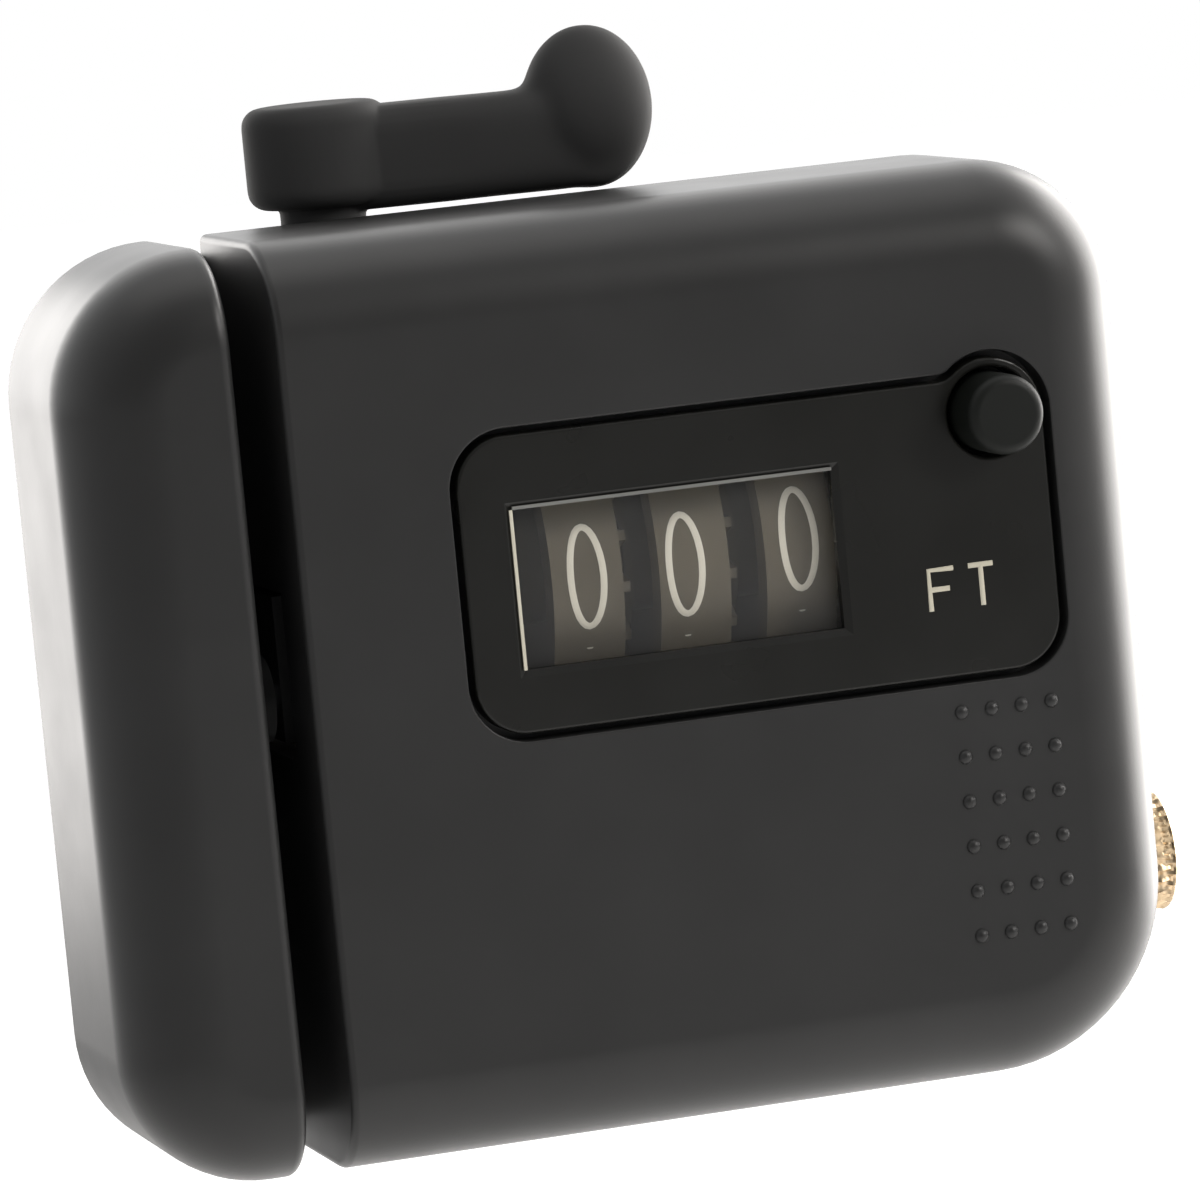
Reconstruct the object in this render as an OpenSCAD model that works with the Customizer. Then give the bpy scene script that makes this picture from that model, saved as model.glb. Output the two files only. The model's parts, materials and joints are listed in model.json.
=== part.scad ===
// Fishing line counter for a rod: the line runs in the slot and turns a measuring wheel,
// which drives three digit wheels. A lever on top opens the gate, a button resets the count,
// and a clamp on the back holds the rod.
// Pieces are drawn in case coordinates: X right and Z up from the middle of the case, Y back from
// its front face. at_rod() then puts the origin on the axis of the clamped rod.

/* [Case shell] */
// Width of the front shell
case_w = 62.8; // [62:0.1:66]
// Height of the front shell
case_h = 53; // [52.5:0.1:57]
// Depth of the front shell
shell_d = 16; // [15.8:0.1:16.4]
// Radius of the shell's corners seen from the front
corner_r = 9; // [7:0.1:10]
// Radius of the shell's front edge
edge_r = 5.5; // [4:0.1:6]
// Thickness of the shell's side walls
side_wall = 2; // [1.4:0.1:2.4]
// Thickness of the shell's front wall
face_wall = 2.4; // [2.2:0.1:2.8]

/* [Line slot] */
// Middle of the line slot, left of the case's middle
slot_x = -20.3; // [-20.8:0.1:-20]
// Width of the line slot
slot_w = 2.8; // [2.6:0.1:3]
// Thickness of the walls beside the slot
slot_wall = 1.6; // [1.2:0.1:1.8]
// Chamfer on the slot's front edges
slot_edge = 0.7; // [0.3:0.1:1]
// Height of the rib that the line runs over
rib_h = 1; // [0.6:0.1:1.2]
// Clearance between the rib and the slot's walls
rib_gap = 0.2; // [0.1:0.05:0.4]

/* [Rear case] */
// Thickness of the flange that the shells are screwed to
flange_t = 2; // [1.6:0.1:2.2]
// Inset of the flange from the shell's outline
flange_inset = 1.2; // [0.6:0.1:2]
// Reach of the rear housing to the left
housing_left = 26.8; // [26.6:0.1:28]
// Reach of the rear housing to the right
housing_right = 29; // [28.4:0.1:30]
// Reach of the rear housing up and down
housing_half_h = 20.5; // [20.3:0.1:20.9]
// Depth of the whole case
case_d = 28.5; // [28.5:0.1:31]
// Wall of the rear housing
housing_wall = 1.8; // [1.4:0.1:1.8]
// Radius of the rear housing's corners and of its back edge
housing_r = 3; // [2:0.1:4]

/* [Counter panel] */
// Left edge of the panel
panel_left = -9.8; // [-10.4:0.1:-9.4]
// Right edge of the panel
panel_right = 25.7; // [25.2:0.1:26]
// Lower edge of the panel
panel_low = -2.55; // [-3:0.05:-2.2]
// Upper edge of the panel
panel_high = 14.4; // [14:0.1:15]
// Radius of the panel's corners
panel_r = 3; // [2:0.1:3.6]
// Radius of the panel's hump round the button
hump_r = 3.6; // [3.4:0.1:4]
// Thickness of the panel
panel_t = 1.6; // [1.4:0.1:1.8]
// How far the panel lies below the front face
panel_sink = 0.1; // [0:0.05:0.3]
// Gap round the panel
panel_gap = 0.4; // [0.2:0.05:0.6]
// Width of the window
window_w = 18.95; // [17:0.05:19.4]
// Height of the window
window_h = 9.1; // [8:0.1:9.6]
// Thickness of the lens
lens_t = 0.8; // [0.6:0.1:1]
// Overlap of the lens behind the window's edge
lens_lip = 0.9; // [0.5:0.1:1.1]

/* [Raised dots] */
// Left column of the dots
dots_left = 18.7; // [18:0.1:19.4]
// Top row of the dots
dots_top = -4.6; // [-5.2:0.1:-4.2]
// Pitch of the columns
dot_pitch_x = 1.82; // [1.6:0.02:2]
// Pitch of the rows
dot_pitch_z = 2.6; // [2.2:0.05:2.8]
// Diameter of a dot
dot_d = 0.8; // [0.5:0.1:1.2]
// Height of a dot
dot_h = 0.3; // [0.2:0.05:0.5]

/* [Digit wheels] */
// Diameter of a digit wheel
digit_d = 21.6; // [20.8:0.1:21.8]
// Width of a digit wheel's rim
digit_w = 4.2; // [3.6:0.1:4.4]
// Distance from digit to digit
digit_pitch = 6.36; // [6.2:0.02:6.4]
// Middle of the units wheel
units_x = 10.65; // [10.4:0.05:10.8]
// Height of the counter's shaft
counter_z = 5.6; // [5.4:0.05:5.8]
// Gap between the panel's back and the digit wheels
digit_gap = 0.6; // [0.5:0.05:0.8]
// Diameter of the counter's shaft
counter_shaft_d = 2.5; // [2:0.1:3]
// Thickness of a digit wheel's rim
rim_t = 1.6; // [1.2:0.1:1.9]

/* [Gears] */
// Module of the reduction gears
gear_m = 0.4; // [0.38:0.01:0.4]
// Module of the carry gears
carry_m = 0.87; // [0.86:0.01:0.88]
// Width of the reduction gears
gear_w = 1.6; // [1.2:0.1:1.7]
// Direction of the lay shaft from the measuring wheel, from +Y towards +Z
lay_angle = -97.2; // [-99:0.1:-95]
// Direction of the carry pinions from the counter's shaft, from +Y towards +Z
carry_angle = 42; // [41:0.5:44]
// Diameter of the lay shaft, the carry pinions' shaft and the reset shaft
thin_shaft_d = 1.8; // [1.5:0.1:1.9]
// Diameter of the transfer gear's arbor and of the roller's pin
arbor_d = 1.6; // [1.2:0.1:1.7]
// Radial clearance of a part that turns on or in another
run_gap = 0.05; // [0.02:0.01:0.08]

/* [Measuring wheel] */
// Diameter of the measuring wheel over its tyre
wheel_d = 12.13; // [11.8:0.01:12.3]
// Width of the measuring wheel
wheel_w = 2.2; // [1.8:0.1:2.3]
// Thickness of the tyre
tyre_t = 0.9; // [0.6:0.1:1.4]
// How far the tyre stands out of the rib
wheel_proud = 1.07; // [0.9:0.01:1.3]
// Diameter of the wheel's shaft
wheel_shaft_d = 1.8; // [1.5:0.1:1.9]
// Wall of the wheel's bushes
bush_wall = 0.65; // [0.5:0.05:0.8]

/* [Frame] */
// Inner face of the left frame plate
frame_left = -6; // [-6.2:0.1:-5]
// Inner face of the right frame plate
frame_right = 18.4; // [18.2:0.1:18.8]
// Thickness of the frame plates
plate_t = 1.2; // [1:0.1:1.3]
// Diameter of the frame's posts
post_d = 3; // [2.6:0.1:3.2]

/* [Lever] */
// Place of the lever's shaft across the case
lever_x = -10.6; // [-10.8:0.1:-10.4]
// Place of the lever's shaft behind the front face
lever_y = 20; // [19.9:0.1:20.2]
// Diameter of the lever's shaft
lever_shaft_d = 3; // [2.6:0.1:3.2]
// Diameter of the lever's hub
hub_d = 8.6; // [7.4:0.1:9]
// Height of the lever's hub
hub_h = 5.9; // [4.6:0.1:6.2]
// Height of the hub's underside above the shell
hub_rise = 0.65; // [0.6:0.05:3]
// Diameter of the collar under the hub
collar_d = 5.1; // [4.6:0.1:6]
// Distance from the shaft to the middle of the knob
arm_len = 16; // [13:0.1:18]
// Width of the arm
arm_w = 5; // [4:0.1:6]
// Turn of the arm from the case's front, towards the viewer
arm_turn = 10; // [0:1:15]
// Width of the knob
knob_d = 7.4; // [6.6:0.1:8]
// Height of the knob
knob_h = 9.4; // [8.6:0.1:10.4]

/* [Gate] */
// Diameter of the idler roller
roller_d = 5; // [4:0.1:5.4]
// Width of the idler roller
roller_w = 2; // [1.6:0.1:2.1]
// Room for the line between the roller and the tyre
nip_gap = 0.33; // [0.3:0.01:0.6]
// Height of the gate arm's underside
gate_z = 2.6; // [2.4:0.1:3]
// Height of the gate arm
gate_h = 3.4; // [2.6:0.1:3.6]

/* [Reset button] */
// Place of the button across the case
button_x = 22.1; // [21.8:0.1:22.4]
// Height of the button
button_z = 12.5; // [12.2:0.1:12.7]
// Diameter of the button
button_d = 4.6; // [4:0.1:5]
// How far the button stands out
button_out = 2.9; // [2.4:0.1:3.6]
// Clearance round the button
button_gap = 0.2; // [0.1:0.05:0.3]
// Diameter of the button's stem
stem_d = 2.4; // [2:0.1:2.6]
// Height of the reset shaft above the button's axis
reset_rise = 6.4; // [6.3:0.1:6.6]

/* [Rod clamp] */
// Diameter of the rod at the clamp
rod_d = 10; // [9:0.1:10.6]
// Place of the rod across the case
rod_x = 6; // [5:0.1:7]
// Height of the clamp's middle
rod_z = -20; // [-20.5:0.1:-19.5]
// Length of the clamp along the rod
clamp_len = 13; // [11:0.1:13]
// Thickness of the saddle plate
saddle_t = 2.4; // [2:0.1:3]
// Gap between the saddle plate and the rod
rod_gap = 0.6; // [0.4:0.1:1.2]
// Thickness of the pads
pad_t = 1.2; // [0.8:0.1:1.6]
// Half the angle that each pad covers
pad_half = 60; // [56:1:64]
// Depth of the jaws behind the saddle plate
jaw_d = 11.6; // [11.4:0.1:13]
// Radius of the clamp's corners
clamp_r = 1.6; // [1:0.1:2]
// Diameter of the thumb screw's shank
screw_d = 4; // [3.4:0.1:4.4]
// Diameter of the thumb screw's knurled head
head_d = 7.6; // [7:0.1:9]
// Length of the thumb screw's head
head_w = 7; // [5:0.1:8]
// Outer end of the thumb screw's head
head_end = 43.3; // [43:0.1:46]

/* [Screws] */
// Diameter of the small screws' shanks
small_screw_d = 2; // [1.6:0.1:2.2]
// Diameter of the small screws' heads
small_head_d = 3.6; // [3:0.1:3.8]
// Height of the small screws' heads
small_head_h = 1.2; // [0.8:0.1:1.4]

/* [Hidden] */
$fn = 64;

// Overrun of a cut past the face that it opens
cut = 1;
// Gap between pieces that pass each other
pass_gap = 0.3;

// Slot
slot_left = slot_x - slot_w/2;
slot_right = slot_x + slot_w/2;
rib_y = shell_d - rib_h;
wheel_y = rib_y - wheel_proud + wheel_d/2;
wheel_z = 0;
bush_d = wheel_shaft_d + 2*run_gap + 2*bush_wall;
bush_len = 2;
wheel_opening_w = wheel_w + 4*pass_gap;
wheel_opening_h = wheel_d + 2.6*pass_gap;

// Rear housing
flange_back = shell_d + flange_t;
housing_w = housing_left + housing_right;
housing_mid = (housing_right - housing_left)/2;
inner_left = -housing_left + housing_wall;
inner_right = housing_right - housing_wall;
inner_half_h = housing_half_h - housing_wall;
inner_back = case_d - housing_wall;
opening_left = slot_right + slot_wall + pass_gap;

// Lever's bearing on the rear case
lever_boss_wall = 2.5;
lever_boss_d = lever_shaft_d + 2*lever_boss_wall;
lever_boss_drop = 0.9;
boss_top = case_h/2 - lever_boss_drop;

// Screws of the case
screw_z = (case_h/2 - flange_inset + housing_half_h)/2;
guard_screw_in = 3.4;
edge_screw_in = 6.4;
head_room = 0.1;
lever_screw_x = lever_x - lever_boss_d/2 - small_head_d/2 - 2*head_room;
case_screw_places = [
  for (x = [slot_left - guard_screw_in, lever_screw_x, case_w/2 - edge_screw_in], side = [-1, 1])
    [x, side*screw_z]];
screw_clear = 0.4;
boss_wall = 1.2;
boss_d = small_screw_d + 2*boss_wall;
case_screw_len = 10;

// Counter
panel_w = panel_right - panel_left;
panel_h = panel_high - panel_low;
window_shift = 1.5;
window_x = units_x - digit_pitch - window_shift;
panel_back = panel_sink + panel_t;
counter_y = panel_back + digit_gap + digit_d/2;
digit_x = [units_x - 2*digit_pitch, units_x - digit_pitch, units_x];
wheel_space = digit_pitch - digit_w;
digit_hub_d = 7;
digit_web = 1.4;
carry_ring_w = 0.8;
carry_disc_w = 0.5;
carry_disc_d = 11;
carry_tooth_w = 1;
carry_tooth_out = 1;
carry_tooth_half_angle = 9;
window_z = counter_z;

// Gear train: 8 to 32, 8 to 32 and 8 to 40 teeth, which is 80 to 1
pinion_teeth = 8;
big_teeth = 32;
units_teeth = 40;
carry_teeth = 20;
addendum = 0.85;
dedendum = 1.15;
pair_centre = gear_m*(pinion_teeth + big_teeth)/2;
units_centre = gear_m*(pinion_teeth + units_teeth)/2;
carry_centre = carry_m*(pinion_teeth + carry_teeth)/2;
wheel_at = [wheel_y, wheel_z];
counter_at = [counter_y, counter_z];
lay_at = wheel_at + pair_centre*[cos(lay_angle), sin(lay_angle)];
carry_at = counter_at + carry_centre*[cos(carry_angle), sin(carry_angle)];

// The arbor lies at the gears' centre distances from the counter's shaft and from the lay shaft
span = lay_at - counter_at;
span_len = norm(span);
along = (units_centre*units_centre - pair_centre*pair_centre + span_len*span_len)/(2*span_len);
aside = sqrt(units_centre*units_centre - along*along);
arbor_at = counter_at + along*span/span_len + aside*[span[1], -span[0]]/span_len;
function heading(from, to) = atan2(to[1] - from[1], to[0] - from[0]);
wheel_to_lay = heading(wheel_at, lay_at);
lay_to_arbor = heading(lay_at, arbor_at);
arbor_to_counter = heading(arbor_at, counter_at);

// Places along X
units_gear_x = units_x + digit_w/2;
gear_step = 0.2;
gear_room = 0.9;
end_gap = 0.1;
transfer_pinion_x = units_gear_x + gear_step;
transfer_gear_x = units_gear_x + gear_w + gear_room;
wheel_pinion_w = gear_w + 2*gear_step;
wheel_pinion_x = slot_right + slot_wall + gear_room;
lay_gear_x = wheel_pinion_x + gear_step;
lay_pinion_x = transfer_gear_x - gear_step;

// Frame plates and posts
plate_room = 3.9;
plate_rim = 2.4;
plate_front = face_wall + plate_room;
plate_low = -13.6;
plate_top_gap = 0.7;
plate_high = inner_half_h - plate_top_gap;
plate_step_y = shell_d - 2*pass_gap;
reset_behind = 6.7;
reset_at = [plate_front + reset_behind, button_z + reset_rise];
saddle_high = 2;
foot_w = 4.8;
foot_t = 1.2;
foot_h = 5;
foot_places = [saddle_high + foot_h/2 + small_head_d/4, plate_high - foot_h/2 - end_gap];
reset_lug_r = norm(reset_at - counter_at) - digit_d/2 - pass_gap;
post_in = 1.9;
post_places = [[plate_front + post_in, plate_low + post_in], [plate_front + post_in, reset_at[1]],
  [inner_back - post_in, plate_low + post_in]];
tenon_shoulder = 0.5;
tenon_d = post_d - 2*tenon_shoulder;

// Lever
hub_low = case_h/2 + hub_rise;
hub_cap = 1.4;
shaft_top = hub_low + hub_h - hub_cap;
spring_room = 3.5;
bracket_low = gate_z + gate_h + spring_room;
bracket_h = 3;
arm_step = 0.8;
arm_drop = 0.3;
knob_drop = 0.5;
knob_z = hub_low - knob_drop + knob_h/2;
knob_r = knob_d/2;

// Gate
roller_y = wheel_y - wheel_d/2 - nip_gap - roller_d/2;
block_left = slot_right;
block_w = 1.9;
block_d = 4.4;
block_mid = [block_left + block_w/2, roller_y];
gate_hub_d = 6;
gate_arm_w = 3.2;
gate_room = 0.5;
gate_swing_room = 6;

// Reset
button_flange_w = 1;
button_flange_t = 1;
button_flange_gap = 0.4;
button_flange_y = face_wall + button_flange_gap;
tab_behind = 2.7;
tab_y = plate_front + tab_behind;
tab_t = 1.2;
tab_rim = 2;
stem_over = 0.8;
stem_end = tab_y + tab_t + stem_over;
arm_gap = 0.6;
reset_arm_t = 1.3;
reset_arm_x = frame_right + plate_t + 2*pass_gap;
reset_arm_w = 2.7;
reset_hub_wall = 1;
reset_bar_wall = 0.7;
reset_lug_w = 1.6;

// Springs
spring_wire = 0.5;
button_spring_room = 0.8;
gate_spring_room = 1;
button_spring_d = stem_d + spring_wire + button_spring_room;
gate_spring_d = lever_shaft_d + spring_wire + gate_spring_room;

// Clamp
saddle_back = case_d + saddle_t;
rod_y = saddle_back + rod_gap + rod_d/2;
clamp_low = rod_z - clamp_len/2;
clamp_high = rod_z + clamp_len/2;
fixed_jaw_w = 9;
moving_jaw_w = 8;
saddle_left = rod_x - rod_d/2 - fixed_jaw_w;
lug_left = housing_right + 2*pass_gap;
lug_w = 4.4;
lug_right = lug_left + lug_w;
pad_outer_r = rod_d/2 + pad_t;
pad_overhang = 0.3;
jaw_face = pad_outer_r*cos(pad_half) + pad_overhang;
jaw_back = saddle_back + jaw_d;
jaw_right = rod_x + rod_d/2 + moving_jaw_w;
jaw_gap = 0.3;
groove_d = 1.7;
groove_w = 5.6;
thread_wall = 1;
thread_bush_d = screw_d + 2*run_gap + 2*thread_wall;
tip_in = 4.2;
tip_left = jaw_right - tip_in;
neck_cut = 0.6;
neck_d = screw_d - 2*neck_cut;
clip_t = 0.8;
clip_in = 2;
clip_x = jaw_right - clip_in;
clip_d = 7;
clip_gap = 0.1;
saddle_screw_in = 3;
saddle_screw_gap = 1;
saddle_screw_places = [
  for (x = [saddle_left + saddle_screw_in, jaw_right + saddle_screw_gap],
       z = [saddle_high - saddle_screw_in, clamp_high + saddle_screw_in + saddle_screw_gap]) [x, z]];
saddle_screw_len = saddle_t + housing_wall;

// Puts case coordinates into the frame of the clamped rod
module at_rod() translate([-rod_x, -rod_y, -rod_z]) children();

// Extrudes an outline in X and Z from depth y0 to depth y1
module depth_extrude(y0, y1) translate([0, y1, 0]) rotate([90, 0, 0]) linear_extrude(y1 - y0) children();

// Extrudes an outline in Y and Z from x0 to x1
module side_extrude(x0, x1) translate([x0, 0, 0]) rotate([90, 0, 90]) linear_extrude(x1 - x0) children();

// Round bar along X at a place in Y and Z
module bar_x(x0, x1, d, at) translate([x0, at[0], at[1]]) rotate([0, 90, 0]) cylinder(d = d, h = x1 - x0);

// Round bar along Y at a place in X and Z
module bar_y(y0, y1, d, at) translate([at[0], y0, at[1]]) rotate([-90, 0, 0]) cylinder(d = d, h = y1 - y0);

// Block between two corners
module block(low, high) translate(low) cube(high - low);

// Block between two corners whose edges along Z are round
module round_block(low, high, r) {
  size = high - low;
  translate([low[0] + size[0]/2, low[1] + size[1]/2, low[2]]) linear_extrude(size[2])
    rounded_rect(size[0], size[1], r);
}

// Rectangle with round corners, on its middle
module rounded_rect(w, h, r) {
  square([w - 2*r, h], center = true);
  square([w, h - 2*r], center = true);
  for (x = [-1, 1], z = [-1, 1]) translate([x*(w/2 - r), z*(h/2 - r)]) circle(r);
}

// Strip from y = 0 to y = d whose two corners at y = 0 are round
module round_front(w, d, r) {
  translate([-w/2, r]) square([w, d - r]);
  translate([-w/2 + r, 0]) square([w - 2*r, d]);
  for (side = [-1, 1]) translate([side*(w/2 - r), r]) circle(r);
}

// Box with round corners seen from the front and a round front edge
module pillow(w, h, d, r, e) {
  intersection() {
    depth_extrude(0, d) rounded_rect(w, h, r);
    translate([0, 0, -h/2]) linear_extrude(h) round_front(w, d, e);
    rotate([0, 90, 0]) translate([0, 0, -w/2]) linear_extrude(w) round_front(h, d, e);
  }
}

// Outside and inside of the front shell
module shell_outside() pillow(case_w, case_h, shell_d, corner_r, edge_r);
module shell_inside() {
  translate([0, face_wall, 0])
    pillow(case_w - 2*side_wall, case_h - 2*side_wall, shell_d, corner_r - side_wall, edge_r - side_wall);
}

// Everything left or right of a plane
module left_of(x) block([-case_w, -cut, -case_h], [x, shell_d + 2*cut, case_h]);
module right_of(x) block([x, -cut, -case_h], [case_w, shell_d + 2*cut, case_h]);

// Chamfer cutter along the slot's edge, on the side that dir points to
module slot_edge_cut(x, dir) {
  translate([x, 0, -case_h/2 - cut]) linear_extrude(case_h + 2*cut)
    polygon([[-dir*cut, -cut], [dir*(slot_edge + cut), -cut], [dir*slot_edge, 0], [0, slot_edge],
      [-dir*cut, slot_edge]]);
}

// Bosses for the case screws that lie between x0 and x1, and the screws' holes
module case_bosses(x0, x1) {
  for (p = case_screw_places) if (p[0] > x0 && p[0] < x1) bar_y(face_wall/2, shell_d, boss_d, p);
}
module case_holes(x0, x1, d) {
  for (p = case_screw_places) if (p[0] > x0 && p[0] < x1)
    bar_y(flange_back - case_screw_len, flange_back + cut, d, p);
}

// Outline of the counter panel, grown by a margin
module panel_outline(grow) {
  translate([(panel_left + panel_right)/2, (panel_low + panel_high)/2])
    rounded_rect(panel_w + 2*grow, panel_h + 2*grow, panel_r + grow);
  translate([button_x, button_z]) circle(hump_r + grow);
}

// Outline of a gear with straight-sided teeth and room between them, one tooth at the angle given
module gear_outline(teeth, m, angle) {
  pitch = 360/teeth;
  tip_r = m*(teeth/2 + addendum);
  root_r = m*(teeth/2 - dedendum);
  root_half = 0.25*pitch;
  tip_half = 0.1*pitch;
  corners = [[root_r, -root_half], [tip_r, -tip_half], [tip_r, tip_half], [root_r, root_half]];
  polygon([for (i = [0:teeth - 1], c = corners)
    c[0]*[cos(angle + i*pitch + c[1]), sin(angle + i*pitch + c[1])]]);
}
module gear(x0, x1, at, teeth, m, angle, bore) {
  difference() {
    side_extrude(x0, x1) translate(at) gear_outline(teeth, m, angle);
    bar_x(x0 - cut, x1 + cut, bore, at);
  }
}
function gap_facing(angle, teeth) = angle + 180 + 180/teeth;

// Coil spring of round wire along Z, as one closed tube
module coil(d, wire, length, turns) {
  sides = 6;
  rings = 12*turns;
  rise = length - wire;
  points = [for (i = [0:rings], s = [0:sides - 1])
    let (a = 360*turns*i/rings, b = 360*s/sides, r = d/2 + wire/2*cos(b))
    [r*cos(a), r*sin(a), wire/2 + rise*i/rings + wire/2*sin(b)]];
  skin = [for (i = [0:rings - 1], s = [0:sides - 1])
    let (a = i*sides + s, b = i*sides + (s + 1) % sides)
    each [[a, a + sides, b], [b, a + sides, b + sides]]];
  last = rings*sides;
  caps = [for (s = [1:sides - 2]) each [[0, s, s + 1], [last, last + s + 1, last + s]]];
  polyhedron(points, concat(skin, caps));
}

// Pan head screw along Y whose head lies behind depth y, its shank in front of it
module pan_screw(y, length, at) {
  bar_y(y - length, y, small_screw_d, at);
  bar_y(y, y + small_head_h, small_head_d, at);
}

module front_case() color("#343435") {
  difference() {
    union() {
      difference() {
        intersection() {
          shell_outside();
          right_of(slot_right);
        }
        intersection() {
          shell_inside();
          right_of(slot_right + slot_wall);
        }
      }
      intersection() {
        case_bosses(slot_right, case_w);
        shell_outside();
      }
      dots();
    }
    case_holes(slot_right, case_w, small_screw_d);
    depth_extrude(-cut, panel_back) panel_outline(panel_gap);
    depth_extrude(-cut, face_wall + cut) translate([window_x, window_z])
      square([window_w + 4*lens_lip, window_h + 6*lens_lip], center = true);
    bar_y(-cut, face_wall + cut, button_d + 2*button_gap, [button_x, button_z]);
    block([slot_right - cut, roller_y - gate_swing_room, -roller_d/2 - gate_room],
      [slot_right + slot_wall + cut, shell_d + cut, gate_z + gate_h + gate_room]);
    slot_edge_cut(slot_right, 1);
  }
}

module dots() {
  for (i = [0:3], j = [0:5])
    bar_y(-dot_h, face_wall/2, dot_d, [dots_left + i*dot_pitch_x, dots_top - j*dot_pitch_z]);
}

module line_guard() color("#343435") {
  difference() {
    union() {
      difference() {
        intersection() {
          shell_outside();
          left_of(slot_left);
        }
        intersection() {
          shell_inside();
          left_of(slot_left - slot_wall);
        }
      }
      intersection() {
        case_bosses(-case_w, slot_left);
        shell_outside();
      }
    }
    case_holes(-case_w, slot_left, small_screw_d);
    slot_edge_cut(slot_left, -1);
  }
}

module rear_case() color("#2c2c2d") {
  flange_w = case_w - 2*flange_inset;
  flange_h = case_h - 2*flange_inset;
  rib_end = flange_h/2 - 1;
  difference() {
    union() {
      difference() {
        union() {
          depth_extrude(shell_d, flange_back) rounded_rect(flange_w, flange_h, corner_r - flange_inset);
          translate([housing_mid, case_d, 0]) rotate([0, 0, 180])
            pillow(housing_w, 2*housing_half_h, case_d - shell_d - flange_t/2, housing_r + 1, housing_r);
          translate([lever_x, lever_y, inner_half_h])
            cylinder(d = lever_boss_d, h = boss_top - inner_half_h);
        }
        block([inner_left, flange_back, -inner_half_h], [inner_right, inner_back, inner_half_h]);
        block([opening_left, shell_d - cut, -inner_half_h], [inner_right, inner_back, inner_half_h]);
      }
      block([slot_left + rib_gap, rib_y, -rib_end], [slot_right - rib_gap, shell_d + flange_t/2, rib_end]);
      block([inner_left, flange_back, -bush_d], [inner_left + bush_len, inner_back, bush_d]);
      block([lever_x - lever_boss_d/2, lever_y - lever_boss_d/2 + 1, bracket_low],
        [frame_left - plate_t - pass_gap, inner_back, bracket_low + bracket_h]);
    }
    block([slot_x - wheel_opening_w/2, rib_y - cut, -wheel_opening_h/2],
      [slot_x + wheel_opening_w/2, flange_back + cut, wheel_opening_h/2]);
    bar_x(inner_left - housing_wall/2, inner_left + bush_len + cut, bush_d, wheel_at);
    translate([lever_x, lever_y, bracket_low - cut])
      cylinder(d = lever_shaft_d + 2*run_gap, h = boss_top - bracket_low + 2*cut);
    case_holes(-case_w, case_w, small_screw_d + screw_clear);
    for (p = saddle_screw_places) bar_y(inner_back - cut, case_d + cut, small_screw_d, p);
    frame_screw_holes(small_screw_d + screw_clear);
    turning_room();
    for (p = case_screw_places)
      bar_y(flange_back, flange_back + small_head_h + head_room, small_head_d + 2*head_room, p);
  }
}

// Room in the rear case for what turns inside
module turning_room() {
  room = 2*pass_gap;
  big_tip_d = gear_m*(big_teeth + 2*addendum);
  carry_tip_d = carry_m*(pinion_teeth + 2*addendum);
  bar_x(slot_x - wheel_opening_w/2, slot_x + wheel_opening_w/2, wheel_d + room, wheel_at);
  bar_x(digit_x[0] - digit_pitch/2, transfer_pinion_x, digit_d + room, counter_at);
  bar_x(digit_x[0], digit_x[2], carry_tip_d + room, carry_at);
  bar_x(lay_gear_x - gear_step, lay_gear_x + gear_w + gear_step, big_tip_d + room, lay_at);
  bar_x(frame_left - plate_t - pass_gap, reset_arm_x + reset_arm_w + pass_gap,
    2*reset_lug_r + room, reset_at);
}

module counter_bezel() color("#242424") {
  difference() {
    depth_extrude(panel_sink, panel_back) panel_outline(0);
    depth_extrude(-cut, panel_back + cut) translate([window_x, window_z])
      square([window_w, window_h], center = true);
    depth_extrude(panel_back - lens_t, panel_back + cut) translate([window_x, window_z])
      square([window_w + 2*lens_lip, window_h + 2*lens_lip], center = true);
    bar_y(-cut, panel_back + cut, button_d + 2*button_gap, [button_x, button_z]);
  }
}

module window_lens() color("#c8d0d0", 0.35) {
  depth_extrude(panel_back - lens_t, panel_back) translate([window_x, window_z])
    square([window_w + 2*lens_lip, window_h + 2*lens_lip], center = true);
}

// Digit wheel with its hollow left side, a carry ring on its right and a carry disc on its left
module digit_wheel(x, ring, disc) {
  left = x - digit_w/2;
  right = x + digit_w/2;
  difference() {
    union() {
      difference() {
        bar_x(left, right, digit_d, counter_at);
        difference() {
          bar_x(left - cut, right - digit_web, digit_d - 2*rim_t, counter_at);
          bar_x(left - 2*cut, right, digit_hub_d, counter_at);
        }
      }
      if (ring) side_extrude(right, right + carry_ring_w) translate(counter_at)
        gear_outline(carry_teeth, carry_m, carry_angle);
      if (disc) side_extrude(left - carry_disc_w, left) translate(counter_at) carry_disc();
    }
    bar_x(left - 2*cut, right + 2*cut, counter_shaft_d + 2*run_gap, counter_at);
  }
}

// Disc with the two teeth that step the next digit, kept short of the pinion
module carry_disc() {
  circle(d = carry_disc_d);
  for (side = [-1, 1]) rotate(side*carry_tooth_half_angle - 90)
    translate([0, -carry_tooth_w/2]) square([carry_disc_d/2 + carry_tooth_out, carry_tooth_w]);
}

module units_wheel() color("#5f584e") digit_wheel(digit_x[2], false, true);
module tens_wheel() color("#5f584e") digit_wheel(digit_x[1], true, true);
module hundreds_wheel() color("#5f584e") digit_wheel(digit_x[0], true, false);

module units_gear() color("#d8d2c0") {
  gear(units_gear_x, units_gear_x + gear_w, counter_at, units_teeth, gear_m,
    gap_facing(arbor_to_counter, units_teeth), counter_shaft_d + 2*run_gap);
}

module counter_shaft() color("#b8bcc0") {
  bar_x(frame_left - plate_t, frame_right + plate_t, counter_shaft_d, counter_at);
}

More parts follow.
